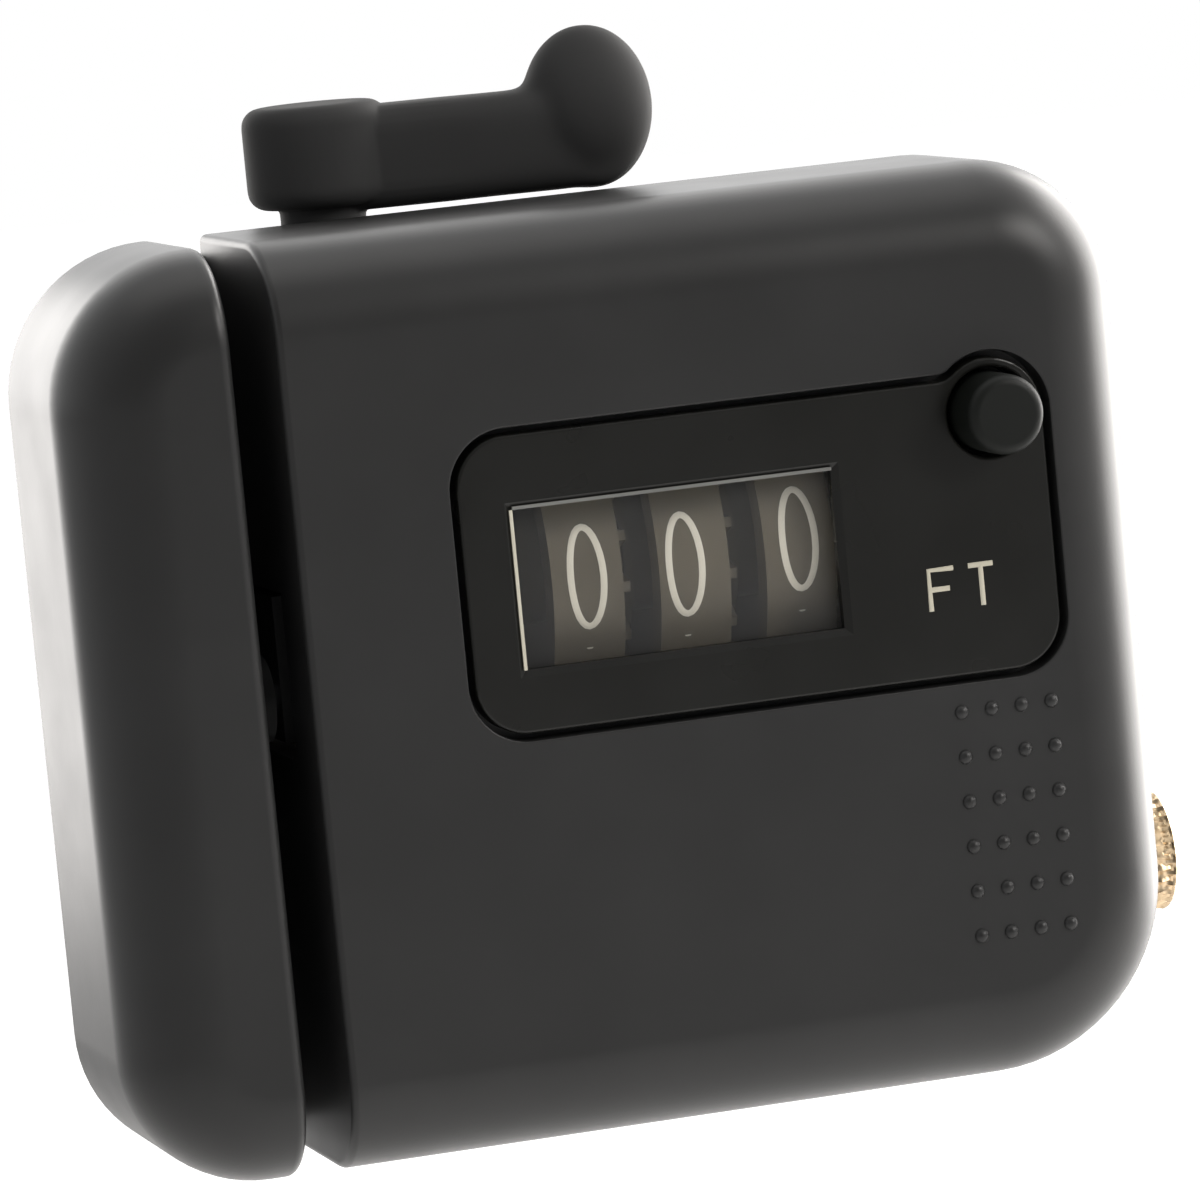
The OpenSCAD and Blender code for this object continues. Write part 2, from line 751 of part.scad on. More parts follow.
module carry_pinion(x) {
  width = wheel_space - 2*pass_gap;
  gear(x - width/2, x + width/2, carry_at, pinion_teeth, carry_m,
    gap_facing(carry_angle, pinion_teeth), thin_shaft_d + 2*run_gap);
}
module tens_pinion() color("#d8d2c0") carry_pinion((digit_x[1] + digit_x[2])/2);
module hundreds_pinion() color("#d8d2c0") carry_pinion((digit_x[0] + digit_x[1])/2);

module pinion_shaft() color("#b8bcc0") {
  bar_x(frame_left - plate_t, frame_right + plate_t, thin_shaft_d, carry_at);
}

// Outline of a frame plate: tall in front of the flange, lower where it passes through it
module plate_outline() {
  translate([plate_front, plate_low]) square([inner_back - plate_front, plate_high - plate_low]);
  translate([plate_front, 0]) square([plate_step_y - plate_front, reset_at[1] + plate_rim]);
}

// Places of the frame's screws, one on each foot
foot_x = [frame_left + foot_w/2, frame_right + plate_t + foot_w/2];
module frame_screw_holes(d) {
  for (x = foot_x, z = foot_places) bar_y(inner_back - foot_t - cut, case_d + cut, d, [x, z]);
}

module left_frame_plate() color("#a8acb0") {
  difference() {
    union() {
      difference() {
        side_extrude(frame_left - plate_t, frame_left) plate_outline();
        plate_bores(frame_left - plate_t);
      }
      for (z = foot_places)
        block([frame_left, inner_back - foot_t, z - foot_h/2],
          [frame_left + foot_w, inner_back, z + foot_h/2]);
    }
    bar_x(frame_left - plate_t - cut, frame_left + cut, bush_d, wheel_at);
    frame_screw_holes(small_screw_d);
  }
}

module right_frame_plate() color("#a8acb0") {
  outer = frame_right + plate_t;
  tab_right = button_x + stem_d/2 + tab_rim;
  difference() {
    union() {
      difference() {
        side_extrude(frame_right, outer) plate_outline();
        plate_bores(frame_right);
        bar_x(frame_right - cut, outer + cut, arbor_d, arbor_at);
      }
      for (z = foot_places)
        block([outer, inner_back - foot_t, z - foot_h/2], [outer + foot_w, inner_back, z + foot_h/2]);
      block([outer, tab_y, button_z - stem_d/2 - tab_rim],
        [tab_right, tab_y + tab_t, button_z + stem_d/2 + tab_rim]);
    }
    bar_y(tab_y - cut, tab_y + tab_t + cut, stem_d + 2*run_gap, [button_x, button_z]);
    frame_screw_holes(small_screw_d);
  }
}

// Holes of a frame plate for the shafts and posts
module plate_bores(x0) {
  x1 = x0 + plate_t + cut;
  bar_x(x0 - cut, x1, counter_shaft_d, counter_at);
  bar_x(x0 - cut, x1, thin_shaft_d, carry_at);
  bar_x(x0 - cut, x1, thin_shaft_d + 2*run_gap, lay_at);
  bar_x(x0 - cut, x1, thin_shaft_d + 2*run_gap, reset_at);
  for (p = post_places) bar_x(x0 - cut, x1, tenon_d, p);
}

module frame_posts() color("#b8bcc0") {
  for (p = post_places) {
    bar_x(frame_left, frame_right, post_d, p);
    bar_x(frame_left - plate_t, frame_right + plate_t, tenon_d, p);
  }
}

module frame_screws() color("#9a9ea2") {
  for (x = foot_x, z = foot_places) pan_screw(case_d, housing_wall + foot_t, [x, z]);
}

module measuring_wheel() color("#d8d2c0") {
  difference() {
    bar_x(slot_x - wheel_w/2, slot_x + wheel_w/2, wheel_d - 2*tyre_t, wheel_at);
    bar_x(slot_x - wheel_w, slot_x + wheel_w, wheel_shaft_d, wheel_at);
  }
}

module wheel_tyre() color("#1e1e1e") {
  difference() {
    bar_x(slot_x - wheel_w/2, slot_x + wheel_w/2, wheel_d, wheel_at);
    bar_x(slot_x - wheel_w, slot_x + wheel_w, wheel_d - 2*tyre_t, wheel_at);
  }
}

module wheel_shaft() color("#b8bcc0") {
  bar_x(inner_left + 2*end_gap, frame_left, wheel_shaft_d, wheel_at);
}

module wheel_bushes() color("#b99a5b") {
  for (x = [[inner_left, inner_left + bush_len], [frame_left - plate_t, frame_left]]) difference() {
    bar_x(x[0], x[1], bush_d, wheel_at);
    bar_x(x[0] - cut, x[1] + cut, wheel_shaft_d + 2*run_gap, wheel_at);
  }
}

module wheel_pinion() color("#d8d2c0") {
  gear(wheel_pinion_x, wheel_pinion_x + wheel_pinion_w, wheel_at, pinion_teeth, gear_m,
    wheel_to_lay, wheel_shaft_d);
}

module lay_gear() color("#d8d2c0") {
  gear(lay_gear_x, lay_gear_x + gear_w, lay_at, big_teeth, gear_m,
    gap_facing(wheel_to_lay, big_teeth), thin_shaft_d);
}

module lay_shaft() color("#b8bcc0") {
  bar_x(lay_gear_x - gear_step, frame_right + plate_t, thin_shaft_d, lay_at);
}

module lay_pinion() color("#d8d2c0") {
  gear(lay_pinion_x, lay_pinion_x + wheel_pinion_w, lay_at, pinion_teeth, gear_m,
    lay_to_arbor, thin_shaft_d);
}

module transfer_gear() color("#d8d2c0") {
  difference() {
    union() {
      side_extrude(transfer_gear_x, transfer_gear_x + gear_w) translate(arbor_at)
        gear_outline(big_teeth, gear_m, gap_facing(lay_to_arbor, big_teeth));
      side_extrude(transfer_pinion_x, transfer_gear_x) translate(arbor_at)
        gear_outline(pinion_teeth, gear_m, arbor_to_counter);
    }
    bar_x(transfer_pinion_x - cut, transfer_gear_x + gear_w + cut, arbor_d + 2*run_gap, arbor_at);
  }
}

module transfer_arbor() color("#b8bcc0") {
  bar_x(transfer_pinion_x + end_gap, frame_right + plate_t, arbor_d, arbor_at);
}

module lever() color("#2e2e2e") {
  difference() {
    union() {
      translate([lever_x, lever_y, hub_low]) rotate_extrude() hub_profile();
      translate([lever_x, lever_y, boss_top + pass_gap])
        cylinder(d = collar_d, h = hub_low - boss_top - pass_gap + cut/2);
      translate([lever_x, lever_y, hub_low]) rotate([0, 0, -arm_turn]) {
        translate([0, -arm_w/2, -arm_drop]) cube([arm_len, arm_w, hub_h - arm_step + arm_drop]);
        translate([arm_len, 0, knob_z - hub_low]) knob();
      }
    }
    translate([lever_x, lever_y, boss_top]) cylinder(d = lever_shaft_d, h = shaft_top - boss_top);
  }
}

// Half section of the hub: a little narrower at the bottom, rounded at the top
module hub_profile() {
  round_r = 1.2;
  taper = 0.4;
  taper_h = 1;
  square([hub_d/2 - round_r, hub_h]);
  polygon([[0, 0], [hub_d/2 - taper, 0], [hub_d/2, taper_h],
    [hub_d/2, hub_h - round_r], [0, hub_h - round_r]]);
  translate([hub_d/2 - round_r, hub_h - round_r]) circle(round_r);
}

// Egg-shaped knob, taller than wide
module knob() {
  rise = knob_h/2 - knob_r;
  translate([0, 0, -rise]) cylinder(r = knob_r, h = 2*rise);
  for (side = [-1, 1]) translate([0, 0, side*rise]) sphere(knob_r);
}

module lever_shaft() color("#b8bcc0") {
  translate([lever_x, lever_y, gate_z]) cylinder(d = lever_shaft_d, h = shaft_top - gate_z);
}

module gate_arm() color("#3a3a3c") {
  block_right = block_left + block_w;
  hub_at = [lever_x, lever_y];
  reach = norm(block_mid - hub_at) - block_w/3;
  difference() {
    union() {
      translate([lever_x, lever_y, gate_z]) cylinder(d = gate_hub_d, h = gate_h);
      translate([lever_x, lever_y, gate_z]) rotate([0, 0, heading(hub_at, block_mid)])
        translate([0, -gate_arm_w/2, 0]) cube([reach, gate_arm_w, gate_h]);
      block([block_left, roller_y - block_d/2, -roller_d/2 + end_gap],
        [block_right, roller_y + block_d/2, gate_z + gate_h]);
    }
    translate([lever_x, lever_y, gate_z - cut]) cylinder(d = lever_shaft_d, h = gate_h + 2*cut);
    bar_x(block_left - cut, block_right + cut, arbor_d, [roller_y, wheel_z]);
  }
}

module idler_roller() color("#2c2c2d") {
  difference() {
    bar_x(slot_x - roller_w/2, slot_x + roller_w/2, roller_d, [roller_y, wheel_z]);
    bar_x(slot_x - roller_w, slot_x + roller_w, arbor_d + 2*run_gap, [roller_y, wheel_z]);
  }
}

module roller_pin() color("#b8bcc0") {
  bar_x(slot_x - roller_w/2 - end_gap, block_left + block_w, arbor_d, [roller_y, wheel_z]);
}

module gate_spring() color("#8f9396") {
  turns = 4;
  low = gate_z + gate_h + end_gap;
  translate([lever_x, lever_y, low]) coil(gate_spring_d, spring_wire, bracket_low - low - end_gap, turns);
}

module reset_button() color("#1e201c") {
  translate([button_x, -button_out, button_z]) rotate([-90, 0, 0]) rotate_extrude() button_profile();
}

// Half section of the button: cap with a round rim, flange and stem
module button_profile() {
  rim = 0.6;
  back = button_out + button_flange_y;
  square([button_d/2 - rim, back]);
  translate([0, rim]) square([button_d/2, back - rim]);
  translate([button_d/2 - rim, rim]) circle(rim);
  translate([0, back]) square([button_d/2 + button_flange_w, button_flange_t]);
  square([stem_d/2, button_out + stem_end]);
}

module button_spring() color("#8f9396") {
  turns = 5;
  front = button_flange_y + button_flange_t + end_gap;
  translate([button_x, front, button_z]) rotate([-90, 0, 0])
    coil(button_spring_d, spring_wire, tab_y - front - end_gap, turns);
}

module reset_arm() color("#a8acb0") {
  right = reset_arm_x + reset_arm_w;
  front = stem_end + arm_gap;
  difference() {
    union() {
      bar_x(reset_arm_x, right, thin_shaft_d + 2*reset_hub_wall, reset_at);
      block([reset_arm_x, front, button_z - stem_d/2], [right, front + reset_arm_t, reset_at[1]]);
    }
    bar_x(reset_arm_x - cut, right + cut, thin_shaft_d, reset_at);
  }
}

module reset_bar() color("#a8acb0") {
  difference() {
    union() {
      bar_x(frame_left + pass_gap, frame_right - pass_gap, thin_shaft_d + 2*reset_bar_wall, reset_at);
      for (x = digit_x) bar_x(x - reset_lug_w/2, x + reset_lug_w/2, 2*reset_lug_r, reset_at);
    }
    bar_x(frame_left, frame_right, thin_shaft_d, reset_at);
  }
}

module rocker_shaft() color("#b8bcc0") {
  bar_x(frame_left - plate_t, reset_arm_x + reset_arm_w, thin_shaft_d, reset_at);
}

module case_screws() color("#9a9ea2") {
  for (p = case_screw_places) pan_screw(flange_back, case_screw_len, p);
}

module clamp_saddle() color("#2c2c2d") {
  difference() {
    union() {
      depth_extrude(case_d, saddle_back)
        translate([(saddle_left + lug_right)/2, (clamp_low + saddle_high)/2])
          rounded_rect(lug_right - saddle_left, saddle_high - clamp_low, clamp_r);
      round_block([saddle_left, case_d, clamp_low], [rod_x - jaw_face, jaw_back, clamp_high], clamp_r/2);
      round_block([lug_left, case_d, clamp_low], [lug_right, jaw_back, clamp_high], clamp_r);
    }
    translate([rod_x, rod_y, clamp_low - cut]) cylinder(r = pad_outer_r, h = clamp_len + 2*cut);
    block([rod_x + 1, saddle_back - groove_d, rod_z - groove_w/2],
      [lug_left, saddle_back + cut, rod_z + groove_w/2]);
    bar_x(lug_left - cut, lug_right + cut, thread_bush_d, [rod_y, rod_z]);
    for (p = saddle_screw_places) bar_y(case_d - cut, saddle_back + cut, small_screw_d, p);
  }
}

module saddle_screws() color("#9a9ea2") {
  for (p = saddle_screw_places) pan_screw(saddle_back, saddle_screw_len, p);
}

// Rubber pad on one side of the rod
module pad(turn) {
  translate([rod_x, rod_y, clamp_low]) rotate([0, 0, turn - pad_half]) rotate_extrude(angle = 2*pad_half)
    translate([rod_d/2, 0]) square([pad_t, clamp_len]);
}
module fixed_pad() color("#1e1e1e") pad(180);
module moving_pad() color("#1e1e1e") pad(0);

module moving_jaw() color("#2c2c2d") {
  jaw_front = saddle_back + jaw_gap;
  difference() {
    union() {
      round_block([rod_x + jaw_face, jaw_front, clamp_low], [jaw_right, jaw_back, clamp_high], clamp_r/2);
      block([rod_x + pad_outer_r + jaw_gap, saddle_back - groove_d + jaw_gap, rod_z - groove_w/2 + jaw_gap],
        [jaw_right, jaw_front + cut, rod_z + groove_w/2 - jaw_gap]);
    }
    translate([rod_x, rod_y, clamp_low - cut]) cylinder(r = pad_outer_r, h = clamp_len + 2*cut);
    bar_x(tip_left - pass_gap, jaw_right + cut, screw_d + 2*run_gap, [rod_y, rod_z]);
    block([clip_x - clip_gap, rod_y - clip_d/2 - clip_gap, rod_z - clip_d/2 - clip_gap],
      [clip_x + clip_t + clip_gap, jaw_back + cut, rod_z + clip_d/2 + clip_gap]);
  }
}

module thread_bush() color("#b99a5b") {
  difference() {
    bar_x(lug_left, lug_right, thread_bush_d, [rod_y, rod_z]);
    bar_x(lug_left - cut, lug_right + cut, screw_d + 2*run_gap, [rod_y, rod_z]);
  }
}

module jaw_clip() color("#9a9ea2") {
  neck_gap = neck_d + 2*run_gap;
  difference() {
    bar_x(clip_x, clip_x + clip_t, clip_d, [rod_y, rod_z]);
    bar_x(clip_x - cut, clip_x + clip_t + cut, neck_gap, [rod_y, rod_z]);
    block([clip_x - cut, rod_y - clip_d, rod_z - neck_gap/2],
      [clip_x + clip_t + cut, rod_y, rod_z + neck_gap/2]);
  }
}

module thumb_screw() color("#be9f6a") {
  head_left = head_end - head_w;
  at = [rod_y, rod_z];
  difference() {
    union() {
      bar_x(tip_left, head_left + cut, screw_d, at);
      side_extrude(head_left, head_end) translate(at) knurled_outline();
    }
    difference() {
      bar_x(clip_x - 2*clip_gap, clip_x + clip_t + 2*clip_gap, screw_d + cut, at);
      bar_x(clip_x - cut, clip_x + clip_t + cut, neck_d, at);
    }
  }
}

// Outline of the thumb screw's head with its knurl
module knurled_outline() {
  ridges = 30;
  depth = 0.3;
  polygon([for (i = [0:2*ridges - 1]) (head_d/2 - (i % 2)*depth)*[cos(180*i/ridges), sin(180*i/ridges)]]);
}

at_rod() front_case();
at_rod() line_guard();
at_rod() rear_case();
at_rod() counter_bezel();
at_rod() window_lens();
at_rod() units_wheel();
at_rod() tens_wheel();
at_rod() hundreds_wheel();
at_rod() units_gear();
at_rod() counter_shaft();
at_rod() tens_pinion();
at_rod() hundreds_pinion();
at_rod() pinion_shaft();
at_rod() left_frame_plate();
at_rod() right_frame_plate();
at_rod() frame_posts();
at_rod() frame_screws();
at_rod() measuring_wheel();
at_rod() wheel_tyre();
at_rod() wheel_shaft();
at_rod() wheel_bushes();
at_rod() wheel_pinion();
at_rod() lay_gear();
at_rod() lay_shaft();
at_rod() lay_pinion();
at_rod() transfer_gear();
at_rod() transfer_arbor();
at_rod() lever();
at_rod() lever_shaft();
at_rod() gate_arm();
at_rod() idler_roller();
at_rod() roller_pin();
at_rod() gate_spring();
at_rod() reset_button();
at_rod() button_spring();
at_rod() reset_arm();
at_rod() reset_bar();
at_rod() rocker_shaft();
at_rod() case_screws();
at_rod() clamp_saddle();
at_rod() saddle_screws();
at_rod() fixed_pad();
at_rod() moving_jaw();
at_rod() moving_pad();
at_rod() thread_bush();
at_rod() jaw_clip();
at_rod() thumb_screw();
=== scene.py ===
# Fishing line counter: its finish, light and camera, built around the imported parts
import json
import math

import bmesh
import bpy
from mathutils import Matrix, Vector


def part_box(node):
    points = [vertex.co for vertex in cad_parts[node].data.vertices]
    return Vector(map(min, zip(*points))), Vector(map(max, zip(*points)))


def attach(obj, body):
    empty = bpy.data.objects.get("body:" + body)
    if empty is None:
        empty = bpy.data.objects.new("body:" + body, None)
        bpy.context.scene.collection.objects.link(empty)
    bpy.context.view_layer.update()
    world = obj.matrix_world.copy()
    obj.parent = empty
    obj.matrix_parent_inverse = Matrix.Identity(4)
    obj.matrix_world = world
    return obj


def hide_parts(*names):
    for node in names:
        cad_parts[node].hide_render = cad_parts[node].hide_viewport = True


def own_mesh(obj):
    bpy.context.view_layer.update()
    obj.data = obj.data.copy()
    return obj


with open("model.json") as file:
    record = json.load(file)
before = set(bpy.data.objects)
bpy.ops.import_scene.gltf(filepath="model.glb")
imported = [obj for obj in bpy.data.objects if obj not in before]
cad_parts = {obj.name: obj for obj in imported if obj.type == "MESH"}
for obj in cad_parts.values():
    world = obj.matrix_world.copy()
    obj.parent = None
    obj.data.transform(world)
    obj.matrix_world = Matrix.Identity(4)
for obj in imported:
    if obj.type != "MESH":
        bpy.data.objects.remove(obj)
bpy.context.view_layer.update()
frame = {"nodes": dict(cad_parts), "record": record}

# Places and sizes

MM = 0.001
# Points closer than this count as one
TINY = 0.01
# How far a cutting tool reaches past what it cuts
PAST = 1
guard_low, guard_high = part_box("line_guard")
shell_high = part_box("front_case")[1]
# Middle of the case's front. Pieces are modelled in millimetres from it: X right, Y back, Z up
CASE = Vector(((guard_low.x + shell_high.x)/2, guard_low.y, (guard_low.z + guard_high.z)/2))


def span(node):
    """Lowest and highest corner of a CAD node, in millimetres from the middle of the case's front."""
    low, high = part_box(node)
    return (low - CASE)/MM, (high - CASE)/MM


def middle(node):
    """Middle of a CAD node's box."""
    low, high = span(node)
    return (low + high)/2


# Half the width and height of the case, and the depth of its front shells
HALF_W = span("front_case")[1].x
HALF_H = span("front_case")[1].z
SHELL_D = span("front_case")[1].y
# The line slot shows a little further left than in the solids
GUARD_CUT_BACK = 0.15
SHELL_REACH = 0.4
SLOT_LEFT = span("line_guard")[1].x - GUARD_CUT_BACK
SLOT_RIGHT = span("front_case")[0].x - SHELL_REACH
# Radius of the edge along the slot, by its side left or right of the slot
SLOT_ROUND = {-1: 0.7, 1: 0.45}
# Walls of the shells along the slot, at the sides and in front
SLOT_WALL = 1.6
SIDE_WALL = 2
FACE_WALL = 2.4
# Radius of the case's front edge
EDGE_R = 5.5
# Radius of each corner seen from the front, by its side left or right and down or up
CORNERS = {(-1, -1): 8, (-1, 1): 8.6, (1, -1): 11, (1, 1): 8}
# Counter panel: its corners, the height of its straight top edge, its radii and the gap round it
BEZEL_LOW, BEZEL_HIGH = span("counter_bezel")
BEZEL_TOP = 14.4
BEZEL_R = 3
BEZEL_GAP = 0.4
HUMP_BLEND = 1.6
# Lens: its corners, what the panel covers of it, and the slope round the window
LENS_LOW, LENS_HIGH = span("window_lens")
LENS_LIP = 0.9
SLOPE_W = 0.43
SLOPE_D = 0.25
# The panel's right edge and the button show a little further in than in the solids
PANEL_CUT_BACK = 0.45
BUTTON_DROP = 0.15
BEZEL_RIGHT = BEZEL_HIGH.x - PANEL_CUT_BACK
BUTTON = middle("reset_button") - Vector((0, 0, BUTTON_DROP))
BUTTON_R = 2.3
BUTTON_GAP = 0.3
HUMP_R = BEZEL_RIGHT - BUTTON.x
# Digit wheels: their radius and the width of the rim that carries the numerals
DIGIT_R = (span("units_wheel")[1].z - span("units_wheel")[0].z)/2
RIM_W = 4.2
PIVOT = middle("lever_shaft")


# Modelling steps

def only(obj):
    """Selects one object and makes it the active one."""
    bpy.ops.object.select_all(action="DESELECT")
    obj.select_set(True)
    bpy.context.view_layer.objects.active = obj


def settled(name):
    """Names the new primitive and applies its place and size to its mesh."""
    obj = bpy.context.active_object
    obj.name = name
    obj.data.name = name
    only(obj)
    bpy.ops.object.transform_apply(location=True, rotation=True, scale=True)
    return obj


def add_block(name, low, high):
    """Block between two corners."""
    bpy.ops.object.select_all(action="DESELECT")
    low, high = Vector(low), Vector(high)
    bpy.ops.mesh.primitive_cube_add(size=1, location=(low + high)/2, scale=high - low)
    return settled(name)


def add_rod(name, radius, start, end, sides=64):
    """Round bar from one point to another."""
    bpy.ops.object.select_all(action="DESELECT")
    start, end = Vector(start), Vector(end)
    turn = (end - start).to_track_quat("Z", "Y").to_euler()
    bpy.ops.mesh.primitive_cylinder_add(
        vertices=sides, radius=radius, depth=(end - start).length, location=(start + end)/2, rotation=turn)
    return settled(name)


def add_peg(name, radius, at, front, back, sides=64):
    """Round bar from one depth to another, on the axis through a point."""
    return add_rod(name, radius, (at.x, front, at.z), (at.x, back, at.z), sides)


def add_plate(name, outline, front, back):
    """Plate whose outline in X and Z is given by points, from one depth to another."""
    bpy.ops.object.select_all(action="DESELECT")
    bpy.ops.mesh.primitive_circle_add(vertices=len(outline), fill_type="NGON")
    plate = settled(name)
    for vertex, (x, z) in zip(plate.data.vertices, outline):
        vertex.co = (x, front, z)
    open_mesh(plate)
    bpy.ops.mesh.select_all(action="SELECT")
    bpy.ops.mesh.extrude_region_move(TRANSFORM_OT_translate={"value": (0, back - front, 0)})
    bpy.ops.mesh.select_all(action="SELECT")
    bpy.ops.mesh.normals_make_consistent(inside=False)
    close_mesh()
    return plate


def open_mesh(obj):
    """Goes into edit mode on one object."""
    only(obj)
    bpy.ops.object.mode_set(mode="EDIT")


def close_mesh():
    """Goes back to object mode."""
    bpy.ops.object.mode_set(mode="OBJECT")


def near(value, target):
    """Whether two measures count as the same."""
    return abs(value - target) < TINY


def ends(edge, test):
    """Whether both ends of an edge pass a test on their place."""
    return all(test(vertex.co) for vertex in edge.verts)


def round_edges(obj, test, radius, steps):
    """Rounds the edges that pass a test and aren't flat."""
    flat = math.radians(5)
    open_mesh(obj)
    bpy.ops.mesh.select_mode(type="EDGE")
    bpy.ops.mesh.select_all(action="DESELECT")
    mesh = bmesh.from_edit_mesh(obj.data)
    for edge in mesh.edges:
        edge.select_set(test(edge) and edge.calc_face_angle(0) > flat)
    mesh.select_flush_mode()
    bmesh.update_edit_mesh(obj.data)
    bpy.ops.mesh.bevel(offset=radius, segments=steps, profile=0.5, affect="EDGES", clamp_overlap=False)
    close_mesh()


def apply_modifiers(obj):
    """Applies an object's modifiers in their order."""
    only(obj)
    for modifier in list(obj.modifiers):
        bpy.ops.object.modifier_apply(modifier=modifier.name)


def combine(obj, tool, operation):
    """Cuts another object out of this one, or unites the two, and uses it up."""
    modifier = obj.modifiers.new("combine", "BOOLEAN")
    modifier.operation = operation
    modifier.solver = "EXACT"
    modifier.object = tool
    apply_modifiers(obj)
    bpy.data.objects.remove(tool)


def cut(obj, *tools):
    """Cuts other objects out of this one."""
    for tool in tools:
        combine(obj, tool, "DIFFERENCE")


def unite(obj, *tools):
    """Unites other objects with this one."""
    for tool in tools:
        combine(obj, tool, "UNION")


def join(name, pieces):
    """Joins objects into one mesh."""
    only(pieces[0])
    for piece in pieces:
        piece.select_set(True)
    bpy.ops.object.join()
    pieces[0].name = name
    pieces[0].data.name = name
    return pieces[0]


def soften(obj, width, steps, angle=35):
    """Rounds every edge that is sharper than an angle."""
    bevel = obj.modifiers.new("soften", "BEVEL")
    bevel.width = width
    bevel.segments = steps
    bevel.limit_method = "ANGLE"
    bevel.angle_limit = math.radians(angle)
    apply_modifiers(obj)


def moved_copy(obj, offset):
    """Copy of a piece with its own mesh, moved by an offset."""
    other = bpy.data.objects.new(obj.name, obj.data.copy())
    bpy.context.scene.collection.objects.link(other)
    other.data.transform(Matrix.Translation(offset))
    return other


def copy_of(node, name):
    """Copy of a CAD node with its triangles merged, in millimetres from the middle of the case's front."""
    merge_gap, flat = 0.002, math.radians(1)
    obj = bpy.data.objects.new(name, frame["nodes"][node].data.copy())
    bpy.context.scene.collection.objects.link(obj)
    obj.data.name = name
    obj.data.transform(Matrix.Scale(1/MM, 4) @ Matrix.Translation(-CASE))
    only(obj)
    bpy.ops.mesh.customdata_custom_splitnormals_clear()
    open_mesh(obj)
    bpy.ops.mesh.select_all(action="SELECT")
    bpy.ops.mesh.remove_doubles(threshold=merge_gap)
    bpy.ops.mesh.dissolve_limited(angle_limit=flat)
    close_mesh()
    return obj


def solids(node):
    """Boxes of the separate solids of a CAD node."""
    mesh = bmesh.new()
    mesh.from_mesh(frame["nodes"][node].data)
    bmesh.ops.remove_doubles(mesh, verts=mesh.verts, dist=TINY*MM)
    left = set(mesh.verts)
    boxes = []
    while left:
        heap = [left.pop()]
        points = []
        while heap:
            vertex = heap.pop()
            points.append((vertex.co - CASE)/MM)
            linked = {edge.other_vert(vertex) for edge in vertex.link_edges} & left
            left -= linked
            heap.extend(linked)
        low = Vector(min(p[i] for p in points) for i in range(3))
        high = Vector(max(p[i] for p in points) for i in range(3))
        boxes.append((low, high))
    mesh.free()
    return sorted(boxes, key=lambda box: tuple(box[0]))


def place(obj, material, body, nodes=(), sharp=30):
    """Puts a finished piece into the frame with its finish, its body and the nodes that it stands for."""
    obj.data.transform(Matrix.Translation(CASE) @ Matrix.Scale(MM, 4))
    only(obj)
    bpy.ops.object.shade_smooth_by_angle(angle=math.radians(sharp))
    flat_faces = obj.modifiers.new("flat_faces", "WEIGHTED_NORMAL")
    flat_faces.keep_sharp = True
    apply_modifiers(obj)
    obj.data.materials.clear()
    obj.data.materials.append(material)
    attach(obj, body)
    if nodes:
        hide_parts(*nodes)


# Finishes

class Finish:
    """A material whose colour, roughness and surface vary with patterns on the piece."""

    def __init__(self, name, roughness, metallic=0.0, specular=0.5):
        self.material = bpy.data.materials.new(name)
        self.material.use_nodes = True
        self.nodes = self.material.node_tree.nodes
        self.links = self.material.node_tree.links
        self.shader = self.nodes["Principled BSDF"]
        self.shader.inputs["Roughness"].default_value = roughness
        self.shader.inputs["Metallic"].default_value = metallic
        self.shader.inputs["Specular IOR Level"].default_value = specular
        self.coordinates = self.nodes.new("ShaderNodeTexCoord").outputs["Object"]

    def noise(self, size_mm, detail=3.0, stretch=(1, 1, 1)):
        """Noise whose grains measure about size_mm, drawn out along an axis by stretch."""
        mapping = self.nodes.new("ShaderNodeMapping")
        mapping.inputs["Scale"].default_value = stretch
        self.links.new(self.coordinates, mapping.inputs["Vector"])
        noise = self.nodes.new("ShaderNodeTexNoise")
        noise.inputs["Scale"].default_value = 1/(size_mm*MM)
        noise.inputs["Detail"].default_value = detail
        self.links.new(mapping.outputs["Vector"], noise.inputs["Vector"])
        return noise.outputs["Fac"]

    def colours(self, pattern, dark, light):
        """Base colour that follows the middle of a noise's range from dark to light."""
        ramp = self.nodes.new("ShaderNodeValToRGB")
        for element, position, colour in zip(ramp.color_ramp.elements, (0.35, 0.65), (dark, light)):
            element.position = position
            element.color = (*colour, 1)
        self.links.new(pattern, ramp.inputs["Fac"])
        self.links.new(ramp.outputs["Color"], self.shader.inputs["Base Color"])

    def roughness(self, pattern, low, high):
        """Roughness that follows the middle of a noise's range."""
        ranged = self.nodes.new("ShaderNodeMapRange")
        for name, value in (("From Min", 0.3), ("From Max", 0.7), ("To Min", low), ("To Max", high)):
            ranged.inputs[name].default_value = value
        self.links.new(pattern, ranged.inputs["Value"])
        self.links.new(ranged.outputs["Result"], self.shader.inputs["Roughness"])

    def bump(self, pattern, depth_mm, strength):
        """Relief that follows a pattern."""
        bump = self.nodes.new("ShaderNodeBump")
        bump.inputs["Strength"].default_value = strength
        bump.inputs["Distance"].default_value = depth_mm*MM
        self.links.new(pattern, bump.inputs["Height"])
        self.links.new(bump.outputs["Normal"], self.shader.inputs["Normal"])


def grey(level):
    """Colour without a hue."""
    return level, level, level


def moulded_plastic(name, dark, light, rough, grain_mm=0.22, grain_depth=0.02, specular=0.5):
    """Moulded plastic: faint clouds of colour, uneven gloss and a fine grain."""
    cloud_mm, gloss_mm = 9, 6
    glossier, duller = 0.015, 0.02
    grain_detail, grain_strength = 2.0, 0.25
    finish = Finish(name, rough, specular=specular)
    finish.colours(finish.noise(cloud_mm), dark, light)
    finish.roughness(finish.noise(gloss_mm), rough - glossier, rough + duller)
    finish.bump(finish.noise(grain_mm, grain_detail), grain_depth, grain_strength)
    return finish.material


